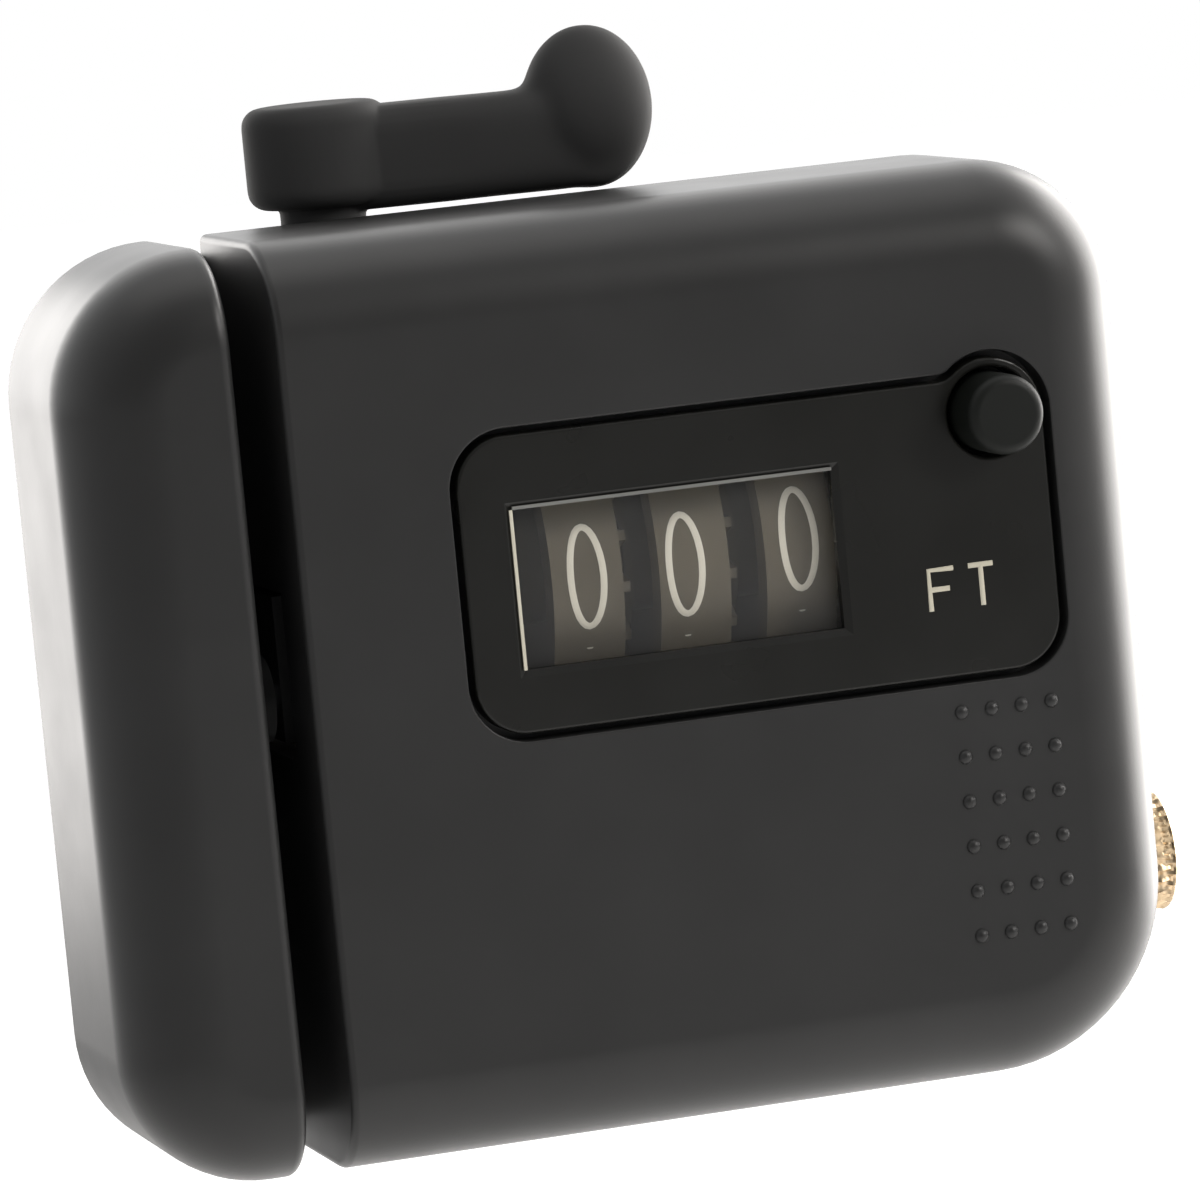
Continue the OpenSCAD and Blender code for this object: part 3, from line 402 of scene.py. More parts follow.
def machined_metal(name, dark, light, rough, stretch):
    """Metal with fine tool marks drawn out along the piece."""
    stain_mm, mark_mm, scratch_mm = 2.0, 0.5, 0.12
    mark_detail, scratch_detail = 4.0, 2.0
    glossier, duller = 0.08, 0.12
    scratch_depth, scratch_strength = 0.012, 0.4
    finish = Finish(name, rough, metallic=1.0)
    finish.colours(finish.noise(stain_mm), dark, light)
    finish.roughness(finish.noise(mark_mm, mark_detail, stretch), rough - glossier, rough + duller)
    finish.bump(finish.noise(scratch_mm, scratch_detail, stretch), scratch_depth, scratch_strength)
    return finish.material


def soft_rubber(name, dark, light):
    """Dull rubber with a coarse skin."""
    cloud_mm, gloss_mm, skin_mm = 1.5, 0.6, 0.3
    skin_detail, skin_depth, skin_strength = 4.0, 0.06, 0.6
    finish = Finish(name, roughness=0.8, specular=0.3)
    finish.colours(finish.noise(cloud_mm), dark, light)
    finish.roughness(finish.noise(gloss_mm), low=0.7, high=0.9)
    finish.bump(finish.noise(skin_mm, skin_detail), skin_depth, skin_strength)
    return finish.material


def clear_plastic(name):
    """Clear thin lens, a faint gloss over what lies behind it, with wipe marks in the gloss."""
    mark_mm, mark_detail, mark_stretch = 1.2, 2.0, (1, 1, 4)
    finish = Finish(name, roughness=0.04)
    finish.shader.inputs["Base Color"].default_value = (*grey(0.2), 1)
    finish.shader.inputs["Alpha"].default_value = 0.1
    finish.roughness(finish.noise(mark_mm, mark_detail, mark_stretch), low=0.02, high=0.08)
    return finish.material


CASE_PLASTIC = moulded_plastic(
    "case_plastic", grey(0.016), grey(0.019), 0.38, grain_depth=0.01, specular=0.33)
REAR_PLASTIC = moulded_plastic(
    "rear_plastic", grey(0.018), grey(0.022), 0.5, grain_mm=0.35, grain_depth=0.04, specular=0.33)
LEVER_PLASTIC = moulded_plastic(
    "lever_plastic", grey(0.035), grey(0.039), 0.7, grain_mm=0.3, specular=0.07)
PANEL_PLASTIC = moulded_plastic(
    "panel_plastic", (0.006, 0.006, 0.005), (0.009, 0.009, 0.008), 0.28,
    grain_mm=0.15, grain_depth=0.006, specular=0.28)
BUTTON_PLASTIC = moulded_plastic(
    "button_plastic", (0.003, 0.004, 0.003), (0.005, 0.006, 0.005), 0.5, specular=0.2)
DIGIT_PLASTIC = moulded_plastic(
    "digit_plastic", (0.088, 0.073, 0.045), (0.124, 0.105, 0.068), 0.5, grain_mm=0.5, grain_depth=0.03)
GEAR_PLASTIC = moulded_plastic(
    "gear_plastic", (0.58, 0.54, 0.44), (0.68, 0.64, 0.53), 0.45)
IVORY_PAINT = moulded_plastic(
    "ivory_paint", (0.78, 0.74, 0.62), (0.85, 0.81, 0.69), 0.6, grain_mm=0.2, grain_depth=0.01)
# Paint of the unit's letters, also used for the pale painted highlight down the window's left edge
LABEL_AND_HIGHLIGHT_PAINT = moulded_plastic(
    "label_and_highlight_paint", (0.46, 0.43, 0.34), (0.54, 0.51, 0.42), 0.6, grain_mm=0.2, grain_depth=0.01)
# Grey paint of the painted highlight along the window's top edge, where the lens's top edge catches light
LENS_TOP_HIGHLIGHT_PAINT = moulded_plastic(
    "lens_top_highlight_paint", (0.1, 0.1, 0.095), (0.16, 0.16, 0.15), 0.4, grain_mm=0.2, grain_depth=0.01)
BRASS = machined_metal("brass", (0.46, 0.35, 0.22), (0.61, 0.47, 0.31), 0.32, (0.15, 1, 1))
STEEL = machined_metal("steel", (0.48, 0.49, 0.51), (0.60, 0.61, 0.63), 0.34, (0.1, 1, 1))
RUBBER = soft_rubber("rubber", grey(0.014), (0.022, 0.022, 0.021))
CLEAR = clear_plastic("clear_lens")
# Finish of the CAD nodes that stay visible, by the record's material slot
CAD_FINISHES = {"lens": CLEAR, "digit_plastic": DIGIT_PLASTIC, "gear_plastic": GEAR_PLASTIC,
                "steel": STEEL, "brass": BRASS, "rubber": RUBBER, "clamp_plastic": REAR_PLASTIC,
                "case_plastic": REAR_PLASTIC, "panel_plastic": PANEL_PLASTIC,
                "button_plastic": BUTTON_PLASTIC}


# Case

def half_block(name, side, slot, inset, front, back):
    """Block on one side of the slot with the case's round corners and front edge, drawn in by inset."""
    corner_steps, edge_steps = 16, 12
    outer, top = side*(HALF_W - inset), HALF_H - inset
    block = add_block(name, (min(slot, outer), front, -top), (max(slot, outer), back, top))
    for up in (-1, 1):
        round_edges(block, lambda edge: ends(edge, lambda p: near(p.x, outer) and near(p.z, up*top)),
                    CORNERS[side, up] - inset, corner_steps)
    round_edges(block, lambda edge: ends(edge, lambda p: near(p.y, front))
                and not ends(edge, lambda p: near(p.x, slot)), EDGE_R - inset, edge_steps)
    return block


def half_shell(name, side, slot):
    """Part of the case on one side of the slot, hollow, with a round edge along the slot."""
    steps = 5
    shell = half_block(name, side, slot, 0, 0, SHELL_D)
    round_edges(shell, lambda edge: ends(edge, lambda p: near(p.x, slot))
                and not ends(edge, lambda p: near(p.y, SHELL_D)), SLOT_ROUND[side], steps)
    cut(shell, half_block("hollow", side, slot + side*SLOT_WALL, SIDE_WALL, FACE_WALL, SHELL_D + PAST))
    return shell


def arc(x, z, radius, start, end, steps=16):
    """Points on an arc from one angle to another, in degrees."""
    angles = [math.radians(start + (end - start)*i/steps) for i in range(steps + 1)]
    return [(x + radius*math.cos(a), z + radius*math.sin(a)) for a in angles]


def bezel_outline(grow):
    """Outline of the counter panel with its hump round the button, grown by a margin."""
    left, right, low = BEZEL_LOW.x + BEZEL_R, BEZEL_RIGHT - BEZEL_R, BEZEL_LOW.z + BEZEL_R
    radius = BEZEL_R + grow
    rise = BEZEL_TOP + HUMP_BLEND - BUTTON.z
    run = math.sqrt((HUMP_R + HUMP_BLEND)**2 - rise**2)
    lean = math.degrees(math.atan2(rise, run))
    points = arc(left, low, radius, 180, 270) + arc(right, low, radius, 270, 360)
    points += arc(BUTTON.x, BUTTON.z, HUMP_R + grow, 0, 180 - lean, steps=32)
    points += arc(BUTTON.x - run, BUTTON.z + rise, HUMP_BLEND - grow, -lean, -90)
    return points + arc(left, BEZEL_TOP - BEZEL_R, radius, 90, 180)


def front_case():
    """Front shell with the panel's pocket, the openings for window, button and gate, and the dots."""
    gate_room, gate_front_room = 0.6, 4
    pocket_round, steps = 0.15, 2
    shell = half_shell("front_shell", 1, SLOT_RIGHT)
    pocket = add_plate("pocket", bezel_outline(BEZEL_GAP), -PAST, BEZEL_HIGH.y)
    window = add_block("window", (LENS_LOW.x - LENS_LIP, -PAST, LENS_LOW.z - LENS_LIP),
                       (LENS_HIGH.x + LENS_LIP, FACE_WALL + PAST, LENS_HIGH.z + LENS_LIP))
    hole = add_peg("hole", BUTTON_R + BUTTON_GAP, BUTTON, -PAST, FACE_WALL + PAST)
    gate_low, gate_high = span("gate_arm")
    gate = add_block("gate", (SLOT_RIGHT - PAST, gate_low.y - gate_front_room, gate_low.z - gate_room),
                     (SLOT_RIGHT + SLOT_WALL + PAST, SHELL_D + PAST, gate_high.z + gate_room))
    cut(shell, pocket, window, hole, gate)

    def at_pocket(p):
        margin = 1
        across = BEZEL_LOW.x - margin < p.x < BEZEL_HIGH.x + margin
        upright = BEZEL_LOW.z - margin < p.z < BEZEL_HIGH.z + margin
        return near(p.y, 0) and across and upright

    round_edges(shell, lambda edge: ends(edge, at_pocket), pocket_round, steps)
    place(join("front_shell", [shell] + dots()), CASE_PLASTIC, "root", ["front_case"])


def dots():
    """Raised dots on the front, sunk a little into it."""
    left, top, pitch_x, pitch_z = 18.7, -4.6, 1.82, 2.6
    columns, rows = 4, 6
    radius, height, sunk = 0.45, 0.3, 0.1
    bpy.ops.object.select_all(action="DESELECT")
    bpy.ops.mesh.primitive_uv_sphere_add(segments=16, ring_count=10, radius=1, location=(left, sunk, top),
                                         scale=(radius, height + sunk, radius))
    first = settled("dot")
    open_mesh(first)
    bpy.ops.mesh.select_all(action="SELECT")
    bpy.ops.mesh.bisect(plane_co=(0, sunk, 0), plane_no=(0, 1, 0), use_fill=True, clear_outer=True)
    close_mesh()
    others = [(i, j) for i in range(columns) for j in range(rows) if (i, j) != (0, 0)]
    return [first] + [moved_copy(first, (i*pitch_x, 0, -j*pitch_z)) for i, j in others]


def line_guard():
    """Rounded cap left of the line slot."""
    place(half_shell("guard_shell", -1, SLOT_LEFT), CASE_PLASTIC, "root", ["line_guard"])


def counter_bezel():
    """Glossy panel with a window that widens to the front and a seat for the lens behind it."""
    edge_round, steps = 0.2, 3
    left, right = LENS_LOW.x + LENS_LIP, LENS_HIGH.x - LENS_LIP
    low, high = LENS_LOW.z + LENS_LIP, LENS_HIGH.z - LENS_LIP
    panel = add_plate("panel", bezel_outline(0), BEZEL_LOW.y, BEZEL_HIGH.y)
    window = add_block("window", (left, 0, low), (right, BEZEL_HIGH.y + PAST, high))
    # The slope's tool starts as far before the panel's face as it ends behind it, so its front widens twice
    slope = add_block("slope", (left, BEZEL_LOW.y - SLOPE_D, low), (right, BEZEL_LOW.y + SLOPE_D, high))
    centre = (LENS_LOW + LENS_HIGH)/2
    for vertex in slope.data.vertices:
        if vertex.co.y < BEZEL_LOW.y:
            vertex.co.x += math.copysign(2*SLOPE_W, vertex.co.x - centre.x)
            vertex.co.z += math.copysign(2*SLOPE_W, vertex.co.z - centre.z)
    seat = add_block("seat", LENS_LOW, LENS_HIGH + Vector((0, PAST, 0)))
    hole = add_peg("hole", BUTTON_R + BUTTON_GAP, BUTTON, -PAST, BEZEL_HIGH.y + PAST)
    cut(panel, window, slope, seat, hole)

    def at_edge(p):
        in_window = LENS_LOW.x < p.x < LENS_HIGH.x and LENS_LOW.z < p.z < LENS_HIGH.z
        return near(p.y, BEZEL_LOW.y) and not in_window

    round_edges(panel, lambda edge: ends(edge, at_edge), edge_round, steps)
    place(panel, PANEL_PLASTIC, "root", ["counter_bezel"])


# Lettering

def oval(x, y, width, height, start=0, end=360):
    """Points on an oval, as shares of a letter's width and height."""
    return [(x + width*px, y + height*py) for px, py in arc(0, 0, 0.5, start, end, steps=28)]


# Strokes of each numeral and letter, as shares of its width and height
STROKES = {
    "0": [oval(0.5, 0.5, 1, 1)],
    "1": [[(0.5, 0.95), (0.5, 0)]],
    "2": [oval(0.5, 0.72, 1, 0.56, 165, -35) + [(0, 0), (1, 0)]],
    "3": [oval(0.5, 0.75, 0.9, 0.5, 150, -90) + oval(0.5, 0.25, 1, 0.5, 90, -150)],
    "4": [[(0.75, 0), (0.75, 1), (0, 0.3), (1, 0.3)]],
    "5": [[(0.9, 1), (0.15, 1), (0.1, 0.55)] + oval(0.5, 0.32, 1, 0.64, 130, -150)],
    "6": [oval(0.5, 0.3, 1, 0.6), oval(0.9, 0.32, 1.8, 1.36, 180, 110)],
    "7": [[(0, 1), (1, 1), (0.35, 0)]],
    "8": [oval(0.5, 0.75, 0.86, 0.5), oval(0.5, 0.25, 1, 0.5)],
    "9": [oval(0.5, 0.7, 1, 0.6), oval(0.1, 0.68, 1.8, 1.36, 0, -58)],
    "F": [[(0, 0), (0, 1), (1, 1)], [(0, 0.52), (0.8, 0.52)]],
    "T": [[(0, 1), (1, 1)], [(0.5, 1), (0.5, 0)]],
}


def lettered(letter, width, height, stroke):
    """Round strokes of one letter, on its middle, facing the viewer."""
    curve = bpy.data.curves.new(letter, "CURVE")
    curve.dimensions = "3D"
    curve.bevel_depth = stroke/2
    curve.bevel_resolution = 2
    curve.use_fill_caps = True
    for points in STROKES[letter]:
        closed = math.dist(points[0], points[-1]) < TINY
        kept = points[:-1] if closed else points
        line = curve.splines.new("POLY")
        line.points.add(len(kept) - 1)
        line.use_cyclic_u = closed
        for point, (x, y) in zip(line.points, kept):
            point.co = ((x - 0.5)*width, 0, (y - 0.5)*height, 1)
    obj = bpy.data.objects.new(letter, curve)
    bpy.context.scene.collection.objects.link(obj)
    only(obj)
    bpy.ops.object.convert(target="MESH")
    return bpy.context.active_object


def numerals(node, body, turn=0):
    """Ten numerals round a digit wheel: the zero in front, turned up by some degrees, the rest below it."""
    count = 10
    width, height, stroke = 1.95, 5.75, 0.4
    # Strokes are pressed flat to this share of their thickness
    flat = 0.12
    centre = middle(node)
    low, high = span(node)
    axis_x = high.x - RIM_W/2 if node == "units_wheel" else low.x + RIM_W/2
    pieces = []
    for digit in range(count):
        piece = lettered(str(digit), width, height, stroke)
        for vertex in piece.data.vertices:
            angle = vertex.co.z/DIGIT_R + math.radians(turn - digit*360/count)
            reach = DIGIT_R - flat*vertex.co.y
            vertex.co = (axis_x + vertex.co.x, centre.y - reach*math.cos(angle),
                         centre.z + reach*math.sin(angle))
        pieces.append(piece)
    place(join(node.replace("wheel", "numerals"), pieces), IVORY_PAINT, body)


def lens_edge_highlights():
    """Painted highlights where the lens's edges catch light: a pale strip down the window's left edge and a
    greyer one along its top.
    """
    width, thick = 0.19, 0.05
    left, right = LENS_LOW.x + LENS_LIP, LENS_HIGH.x - LENS_LIP
    low, high = LENS_LOW.z + LENS_LIP, LENS_HIGH.z - LENS_LIP
    front, back = BEZEL_LOW.y, BEZEL_LOW.y + SLOPE_D + thick
    # Painted highlight: a pale strip where the lens's left edge catches light
    side = add_block("painted_lens_edge_highlight", (left - width, front, low), (left, back, high))
    place(side, LABEL_AND_HIGHLIGHT_PAINT, "root")
    # Painted highlight: a greyer strip where the lens's top edge catches light from above
    top = add_block("painted_lens_top_highlight", (left, front, high), (right, back, high + width))
    place(top, LENS_TOP_HIGHLIGHT_PAINT, "root")


def unit_label():
    """Letters of the unit on the panel."""
    middle_x, middle_z = 19.44, 2.55
    width, height, step, stroke = 1.5, 2.35, 2.4, 0.3
    # Strokes are pressed flat to this share of their thickness
    flat = 0.3
    pieces = []
    for place_in_word, letter in enumerate("FT"):
        piece = lettered(letter, width, height, stroke)
        for vertex in piece.data.vertices:
            x = middle_x + (place_in_word - 0.5)*step + vertex.co.x
            vertex.co = (x, BEZEL_LOW.y + flat*vertex.co.y, middle_z + vertex.co.z)
        pieces.append(piece)
    place(join("unit_label", pieces), LABEL_AND_HIGHLIGHT_PAINT, "root")


# Lever and button

def lever_elbow(centre, knob_half, arm_w):
    """Disc at the arm's end that fills the lower half of the knob's outline, thinner above and ahead."""
    outline_share, drawn_in, thinner_up, thinner_ahead = 0.97, 0.4, 0.6, 0.8
    elbow = add_rod("elbow", 1, (0, -arm_w/2, 0), (0, arm_w/2, 0), sides=96)
    for vertex in elbow.data.vertices:
        rise, ahead = max(0, vertex.co.z), max(0, vertex.co.x)
        reach = outline_share - drawn_in*rise
        depth = vertex.co.y*(1 - thinner_up*rise)*math.sqrt(1 - thinner_ahead*ahead**2)
        vertex.co = centre + Vector((reach*knob_half.x*vertex.co.x, depth, reach*knob_half.z*vertex.co.z))
    return elbow


def flow_together(piece):
    """Makes joined forms one skin, smoothed a little all over and well at the knob."""
    voxel, factor, passes, knob_passes = 0.14, 0.5, 9, 120
    blend_start, blend_run = 7.5, 3
    piece.data.remesh_voxel_size = voxel
    only(piece)
    bpy.ops.object.voxel_remesh()
    near_knob = piece.vertex_groups.new(name="near_knob")
    for vertex in piece.data.vertices:
        share = min(1, max(0, (vertex.co.x - blend_start)/blend_run))
        near_knob.add([vertex.index], share, "REPLACE")
    for group, count in (("", passes), (near_knob.name, knob_passes)):
        smooth = piece.modifiers.new("smooth", "SMOOTH")
        smooth.factor = factor
        smooth.iterations = count
        smooth.vertex_group = group
    apply_modifiers(piece)
    piece.vertex_groups.clear()


def lever():
    """Hub, rounded arm and egg-shaped knob on its elbow, flowing together and bored for the shaft."""
    low, high = span("lever")
    # Heights are measured from the hub's foot, lengths from the shaft's axis
    gap_below = 0.65
    foot = HALF_H + gap_below
    hub_r, hub_h, hub_round = 4.25, 5.95, 1.1
    collar_r, collar_top = 2.5, 1
    arm_len, arm_w, arm_low, arm_high, arm_round = 16, 5.4, -0.45, 5.55, 1.5
    knob_half = Vector((3.85, 3.5, 4.83))
    round_steps = 5
    # The arm's turn at rest in degrees
    turn = 10
    # How far the lever shows left of the shaft, and what smoothing takes off the knob's top
    aside, taken_off = 0.25, 0.12
    hub = add_rod("hub", hub_r, (0, 0, 0), (0, 0, hub_h))
    soften(hub, hub_round, round_steps)
    collar = add_rod("collar", collar_r, (0, 0, low.z - foot), (0, 0, collar_top))
    arm = add_block("arm", (0, -arm_w/2, arm_low), (arm_len, arm_w/2, arm_high))
    soften(arm, arm_round, round_steps)
    knob_at = Vector((arm_len, 0, high.z - foot - knob_half.z + taken_off))
    elbow = lever_elbow(knob_at, knob_half, arm_w)
    soften(elbow, arm_round, round_steps)
    bpy.ops.object.select_all(action="DESELECT")
    bpy.ops.mesh.primitive_uv_sphere_add(segments=64, ring_count=48, radius=1, location=knob_at,
                                         scale=knob_half)
    knob = settled("knob")
    piece = join("lever_handle", [hub, collar, arm, elbow, knob])
    flow_together(piece)
    piece.data.transform(Matrix.Translation((PIVOT.x - aside, PIVOT.y, foot))
                         @ Matrix.Rotation(math.radians(-turn), 4, "Z"))
    shaft_low, shaft_high = span("lever_shaft")
    bore_r, bore_low = (shaft_high.x - shaft_low.x)/2, HALF_H - 2
    cut(piece, add_rod("bore", bore_r, (PIVOT.x, PIVOT.y, bore_low), (PIVOT.x, PIVOT.y, shaft_high.z)))
    place(piece, LEVER_PLASTIC, "lever", ["lever"])


def reset_button():
    """Push button with a round rim, its flange and its stem."""
    low, high = span("reset_button")
    axis = middle("reset_button")
    rim_round, rim_steps = 0.65, 6
    stem_r, sunk = 1.2, 0.1
    flange_r, flange_gap, flange_thick = (high.x - low.x)/2, 0.4, 1
    flange_front = FACE_WALL + flange_gap
    flange_back = flange_front + flange_thick
    cap = add_peg("button_cap", BUTTON_R, BUTTON, low.y, flange_front, sides=96)
    round_edges(cap, lambda edge: ends(edge, lambda p: near(p.y, low.y)), rim_round, rim_steps)
    flange = add_peg("flange", flange_r, axis, flange_front - sunk, flange_back, sides=96)
    stem = add_peg("stem", stem_r, axis, flange_back - sunk, high.y, sides=48)
    unite(cap, flange, stem)
    place(cap, BUTTON_PLASTIC, "button", ["reset_button"])


def push_spring():
    """Spring behind the button: a steel copy of the CAD spring with a mesh of its own."""
    spring = copy_of("button_spring", "push_spring")
    place(spring, STEEL, "root", ["button_spring"], sharp=50)
    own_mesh(spring)


# Screws

def pan_screws(node, name):
    """Pan head screws of a node: domed heads with a cross recess."""
    boxes = solids(node)
    low, high = boxes[0]
    centre = (low + high)/2
    head_r, head_h = (high.x - low.x)/2, 1.2
    head_round, head_steps = 0.75, 6
    shank_r, sunk = 1, 0.2
    recess_long, recess_thin, recess_deep = 1.05, 0.24, 0.55
    seat = high.y - head_h
    screw = add_peg(name, head_r, centre, seat, high.y, sides=48)
    round_edges(screw, lambda edge: ends(edge, lambda p: near(p.y, high.y)), head_round, head_steps)
    unite(screw, add_peg("shank", shank_r, centre, low.y, seat + sunk, sides=32))
    for reach_x, reach_z in ((recess_long, recess_thin), (recess_thin, recess_long)):
        cut(screw, add_block("recess", (centre.x - reach_x, high.y - recess_deep, centre.z - reach_z),
                             (centre.x + reach_x, high.y + PAST, centre.z + reach_z)))
    copies = [moved_copy(screw, (box[0] + box[1])/2 - centre) for box in boxes[1:]]
    place(join(name, [screw] + copies), STEEL, "root", [node])


def thumb_screw():
    """Brass thumb screw: a helical thread, the neck for its clip and a head with a diamond knurl."""
    low, high = span("thumb_screw")
    centre = middle("thumb_screw")
    clip_low, clip_high = span("jaw_clip")
    head_len, head_r, shank_r, rim = 7, 3.8, 2, 0.45
    neck_r, neck_room = 1.4, 0.2
    # The first few steps of the thread's end stay plain
    pitch, thread_depth, thread_step, plain_steps = 0.7, 0.22, 0.1, 3
    ridges, knurl_long, knurl_depth, knurl_step = 30, 2.0, 0.32, 0.125
    columns, merge_gap = 120, 0.001
    head_left = high.x - head_len

    # Places along the screw with their radius before thread and knurl
    stations = [(low.x, shank_r - rim)]
    x = low.x
    while x < head_left - thread_step:
        x += thread_step
        neck = clip_low.x - neck_room < x < clip_high.x + neck_room
        stations.append((x, neck_r if neck else min(shank_r, shank_r - rim + (x - low.x))))
    stations.append((head_left, shank_r))
    for i in range(round((high.x - head_left)/knurl_step) + 1):
        x = head_left + i*knurl_step
        chamfer = max(0, rim - min(x - head_left, high.x - x))
        stations.append((x, head_r - chamfer))

    def zigzag(turns):
        """Wave between 0 and 1, one for each turn."""
        return abs(2*(turns % 1) - 1)

    def radius_at(index, angle):
        x, radius = stations[index]
        turns = angle/math.tau
        if x < head_left or radius <= shank_r:
            threaded = radius > neck_r + TINY and index > plain_steps
            return radius - (thread_depth*zigzag(x/pitch - turns) if threaded else 0)
        if radius < head_r - TINY:
            return radius
        one = zigzag(ridges*turns + x/knurl_long)
        two = zigzag(ridges*turns - x/knurl_long)
        return radius - knurl_depth*(1 - min(one, two))

    bpy.ops.object.select_all(action="DESELECT")
    bpy.ops.mesh.primitive_grid_add(x_subdivisions=len(stations) - 1, y_subdivisions=columns, size=1)
    piece = settled("clamp_screw")
    for vertex in piece.data.vertices:
        index = round((vertex.co.x + 0.5)*(len(stations) - 1))
        angle = math.tau*(vertex.co.y + 0.5)
        radius = radius_at(index, angle)
        vertex.co = (stations[index][0], centre.y + radius*math.cos(angle),
                     centre.z + radius*math.sin(angle))
    open_mesh(piece)
    bpy.ops.mesh.select_all(action="SELECT")
    bpy.ops.mesh.remove_doubles(threshold=merge_gap)
    bpy.ops.mesh.fill_holes(sides=0)
    bpy.ops.mesh.select_all(action="SELECT")
    bpy.ops.mesh.normals_make_consistent(inside=False)
    close_mesh()
    place(piece, BRASS, "screw", ["thumb_screw"])


# Rear pieces

def corner_bits():
    """What stands out of the rear housing's well rounded form at its four back corners."""
    left, right, top = -26.8, 29, 20.5
    corner_r, corner_steps, back_r, back_steps = 4, 16, 3, 12
    back = span("rear_case")[1].y
    # The form stands out of the housing's flat sides by a hair
    form = add_block("form", (left - TINY, 0, -top - TINY), (right + TINY, back + TINY, top + TINY))
    round_edges(form, lambda edge: not near(edge.verts[0].co.y, edge.verts[1].co.y), corner_r, corner_steps)
    round_edges(form, lambda edge: ends(edge, lambda p: p.y > back), back_r, back_steps)
    reach = Vector((corner_r + PAST, back_r + PAST, corner_r + PAST))
    corners = [Vector((x, back, z)) for x in (left, right) for z in (-top, top)]
    bits = join("bits", [add_block("bit", corner - reach, corner + reach) for corner in corners])
    cut(bits, form)
    return bits


def rear_pieces():
    """Rear case, clamp saddle and jaw with softened edges."""
    edge_round, steps, sharper_than, sharp = 0.3, 3, 40, 50
    for node, name, body, slot in (("rear_case", "rear_housing", "root", "case_plastic"),
                                   ("clamp_saddle", "saddle", "root", "clamp_plastic"),
                                   ("moving_jaw", "jaw", "jaw", "clamp_plastic")):
        piece = copy_of(node, name)
        soften(piece, edge_round, steps, sharper_than)
        if node == "rear_case":
            cut(piece, corner_bits())
        place(piece, REAR_PLASTIC, body, [node], sharp)


def dress_cad_nodes():
    """Gives the CAD nodes that stay visible their finish."""
    slots = {part["node"]: part["material_slot"] for part in frame["record"]["subparts"]}
    for node, obj in frame["nodes"].items():
        obj.data.materials.clear()
        obj.data.materials.append(CAD_FINISHES[slots[node]])


# Studio

def surroundings():
    """White to the camera, brighter behind than in front in reflections, and dim as a light."""
    seen_strength, ambient_strength = 1.0, 0.52
    # Reflections see a brightness that rises from the front to the back of the room
    front_most, back_most, front_strength, back_strength = -0.95, 0.8, 0.08, 1.8
    world = bpy.data.worlds.new("studio")
    bpy.context.scene.world = world
    world.use_nodes = True
    nodes, links = world.node_tree.nodes, world.node_tree.links
    nodes.clear()
    direction = nodes.new("ShaderNodeTexCoord")
    split = nodes.new("ShaderNodeSeparateXYZ")
    links.new(direction.outputs["Generated"], split.inputs["Vector"])
    depth = nodes.new("ShaderNodeMapRange")
    for name, value in (("From Min", front_most), ("From Max", back_most),
                        ("To Min", front_strength), ("To Max", back_strength)):
        depth.inputs[name].default_value = value
    links.new(split.outputs["Y"], depth.inputs["Value"])
    seen = nodes.new("ShaderNodeBackground")
    mirrored = nodes.new("ShaderNodeBackground")
    ambient = nodes.new("ShaderNodeBackground")
    for background in (seen, mirrored, ambient):
        background.inputs["Color"].default_value = (1, 1, 1, 1)
    seen.inputs["Strength"].default_value = seen_strength
    ambient.inputs["Strength"].default_value = ambient_strength
    links.new(depth.outputs["Result"], mirrored.inputs["Strength"])
    path = nodes.new("ShaderNodeLightPath")
    sharp = nodes.new("ShaderNodeMath")
    sharp.operation = "MAXIMUM"
    links.new(path.outputs["Is Glossy Ray"], sharp.inputs[0])
    links.new(path.outputs["Is Transmission Ray"], sharp.inputs[1])
    inner = nodes.new("ShaderNodeMixShader")
    links.new(sharp.outputs["Value"], inner.inputs["Fac"])
    links.new(ambient.outputs["Background"], inner.inputs[1])
    links.new(mirrored.outputs["Background"], inner.inputs[2])
    outer = nodes.new("ShaderNodeMixShader")
    links.new(path.outputs["Is Camera Ray"], outer.inputs["Fac"])
    links.new(inner.outputs["Shader"], outer.inputs[1])
    links.new(seen.outputs["Background"], outer.inputs[2])
    output = nodes.new("ShaderNodeOutputWorld")
    links.new(outer.outputs["Shader"], output.inputs["Surface"])


def lamps():
    """Soft lamps that face the case: their place from it and size in metres, and their power in watts."""
    warm_white = (1, 0.97, 0.94)
    settings = {"left_rear": ((-0.085, 0.23, 0.03), (0.1, 0.15), 0.22),
                "right": ((0.47, 0.2, 0.08), (0.5, 0.6), 8.5),
                "top_rear": ((0.1, 0.4, 0.32), (0.6, 0.3), 0.4),
                "top": ((0.0, -0.04, 0.5), (0.5, 0.3), 0.5),
                "right_front": ((0.46, -0.44, 0.32), (0.25, 0.25), 2.45)}
    for name, (where, size, power) in settings.items():
        light = bpy.data.lights.new(name, "AREA")
        light.shape = "RECTANGLE"
        light.size, light.size_y = size
        light.energy = power
        light.color = warm_white
        lamp = bpy.data.objects.new(name, light)
        bpy.context.scene.collection.objects.link(lamp)
        lamp.location = CASE + Vector(where)
        lamp.rotation_euler = Vector(where).to_track_quat("Z", "Y").to_euler()
        lamp.visible_camera = False


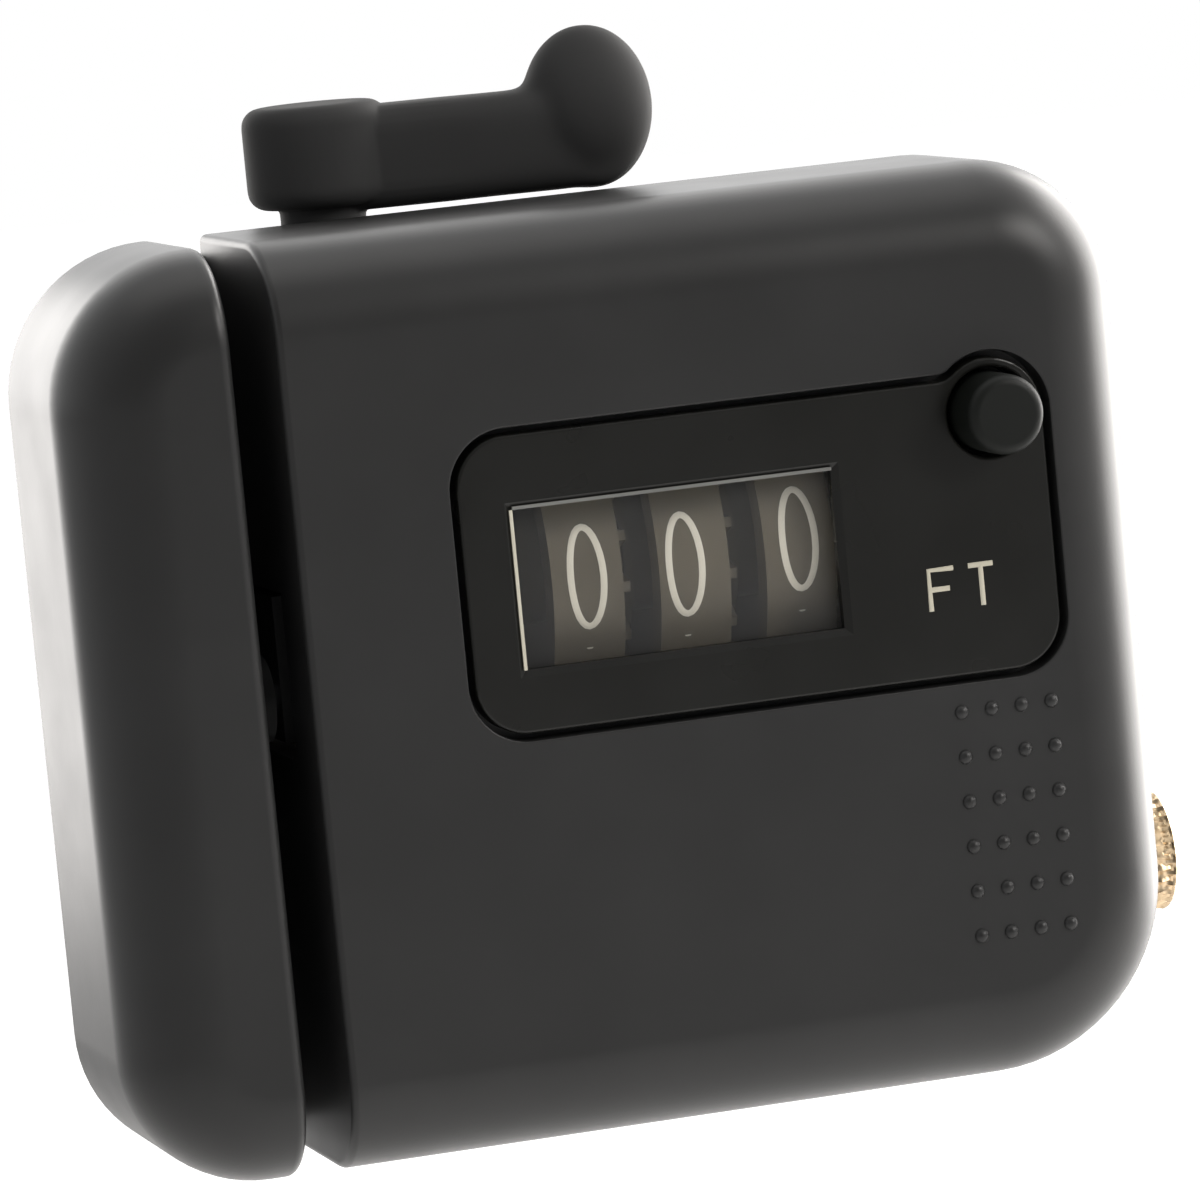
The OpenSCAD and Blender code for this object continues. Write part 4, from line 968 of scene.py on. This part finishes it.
def floor():
    """Pale floor below the counter, lifted towards white where the camera sees it."""
    # The floor's width and depth below the case in metres
    width, below = 6, 0.15
    cloud_mm, lift = 40, 0.6
    bpy.ops.object.select_all(action="DESELECT")
    bpy.ops.mesh.primitive_plane_add(size=width, location=CASE - Vector((0, 0, below)))
    plane = settled("floor")
    finish = Finish("floor", roughness=0.9, specular=0.0)
    finish.colours(finish.noise(cloud_mm), grey(0.86), grey(0.88))
    finish.shader.inputs["Emission Color"].default_value = (1, 1, 1, 1)
    path = finish.nodes.new("ShaderNodeLightPath")
    glow = finish.nodes.new("ShaderNodeMath")
    glow.operation = "MULTIPLY"
    glow.inputs[1].default_value = lift
    finish.links.new(path.outputs["Is Camera Ray"], glow.inputs[0])
    finish.links.new(glow.outputs["Value"], finish.shader.inputs["Emission Strength"])
    plane.data.materials.append(finish.material)


def camera():
    """Camera at the photograph's viewing angle."""
    azimuth, elevation, roll = math.radians(-16), math.radians(6.5), math.radians(-5.48)
    distance, focal, sensor, nearest = 0.44, 230.5, 36, 0.01
    aim = CASE + Vector((-0.25, 6.5, 3.72))*MM
    level = math.cos(elevation)
    back = Vector((math.sin(azimuth)*level, -math.cos(azimuth)*level, math.sin(elevation)))
    data = bpy.data.cameras.new("camera")
    data.lens = focal
    data.sensor_width = sensor
    data.clip_start = nearest
    obj = bpy.data.objects.new("camera", data)
    bpy.context.scene.collection.objects.link(obj)
    facing = back.to_track_quat("Z", "Y").to_matrix().to_4x4()
    obj.matrix_world = Matrix.Translation(aim + back*distance) @ facing @ Matrix.Rotation(roll, 4, "Z")
    bpy.context.scene.camera = obj


bpy.context.scene.view_settings.view_transform = "Standard"
camera()
dress_cad_nodes()
front_case()
line_guard()
counter_bezel()
numerals("hundreds_wheel", "hundreds")
numerals("tens_wheel", "tens")
numerals("units_wheel", "units", turn=3.4)
lens_edge_highlights()
unit_label()
lever()
reset_button()
push_spring()
pan_screws("case_screws", "shell_screws")
pan_screws("saddle_screws", "clamp_screws")
pan_screws("frame_screws", "plate_screws")
thumb_screw()
rear_pieces()
surroundings()
lamps()
floor()
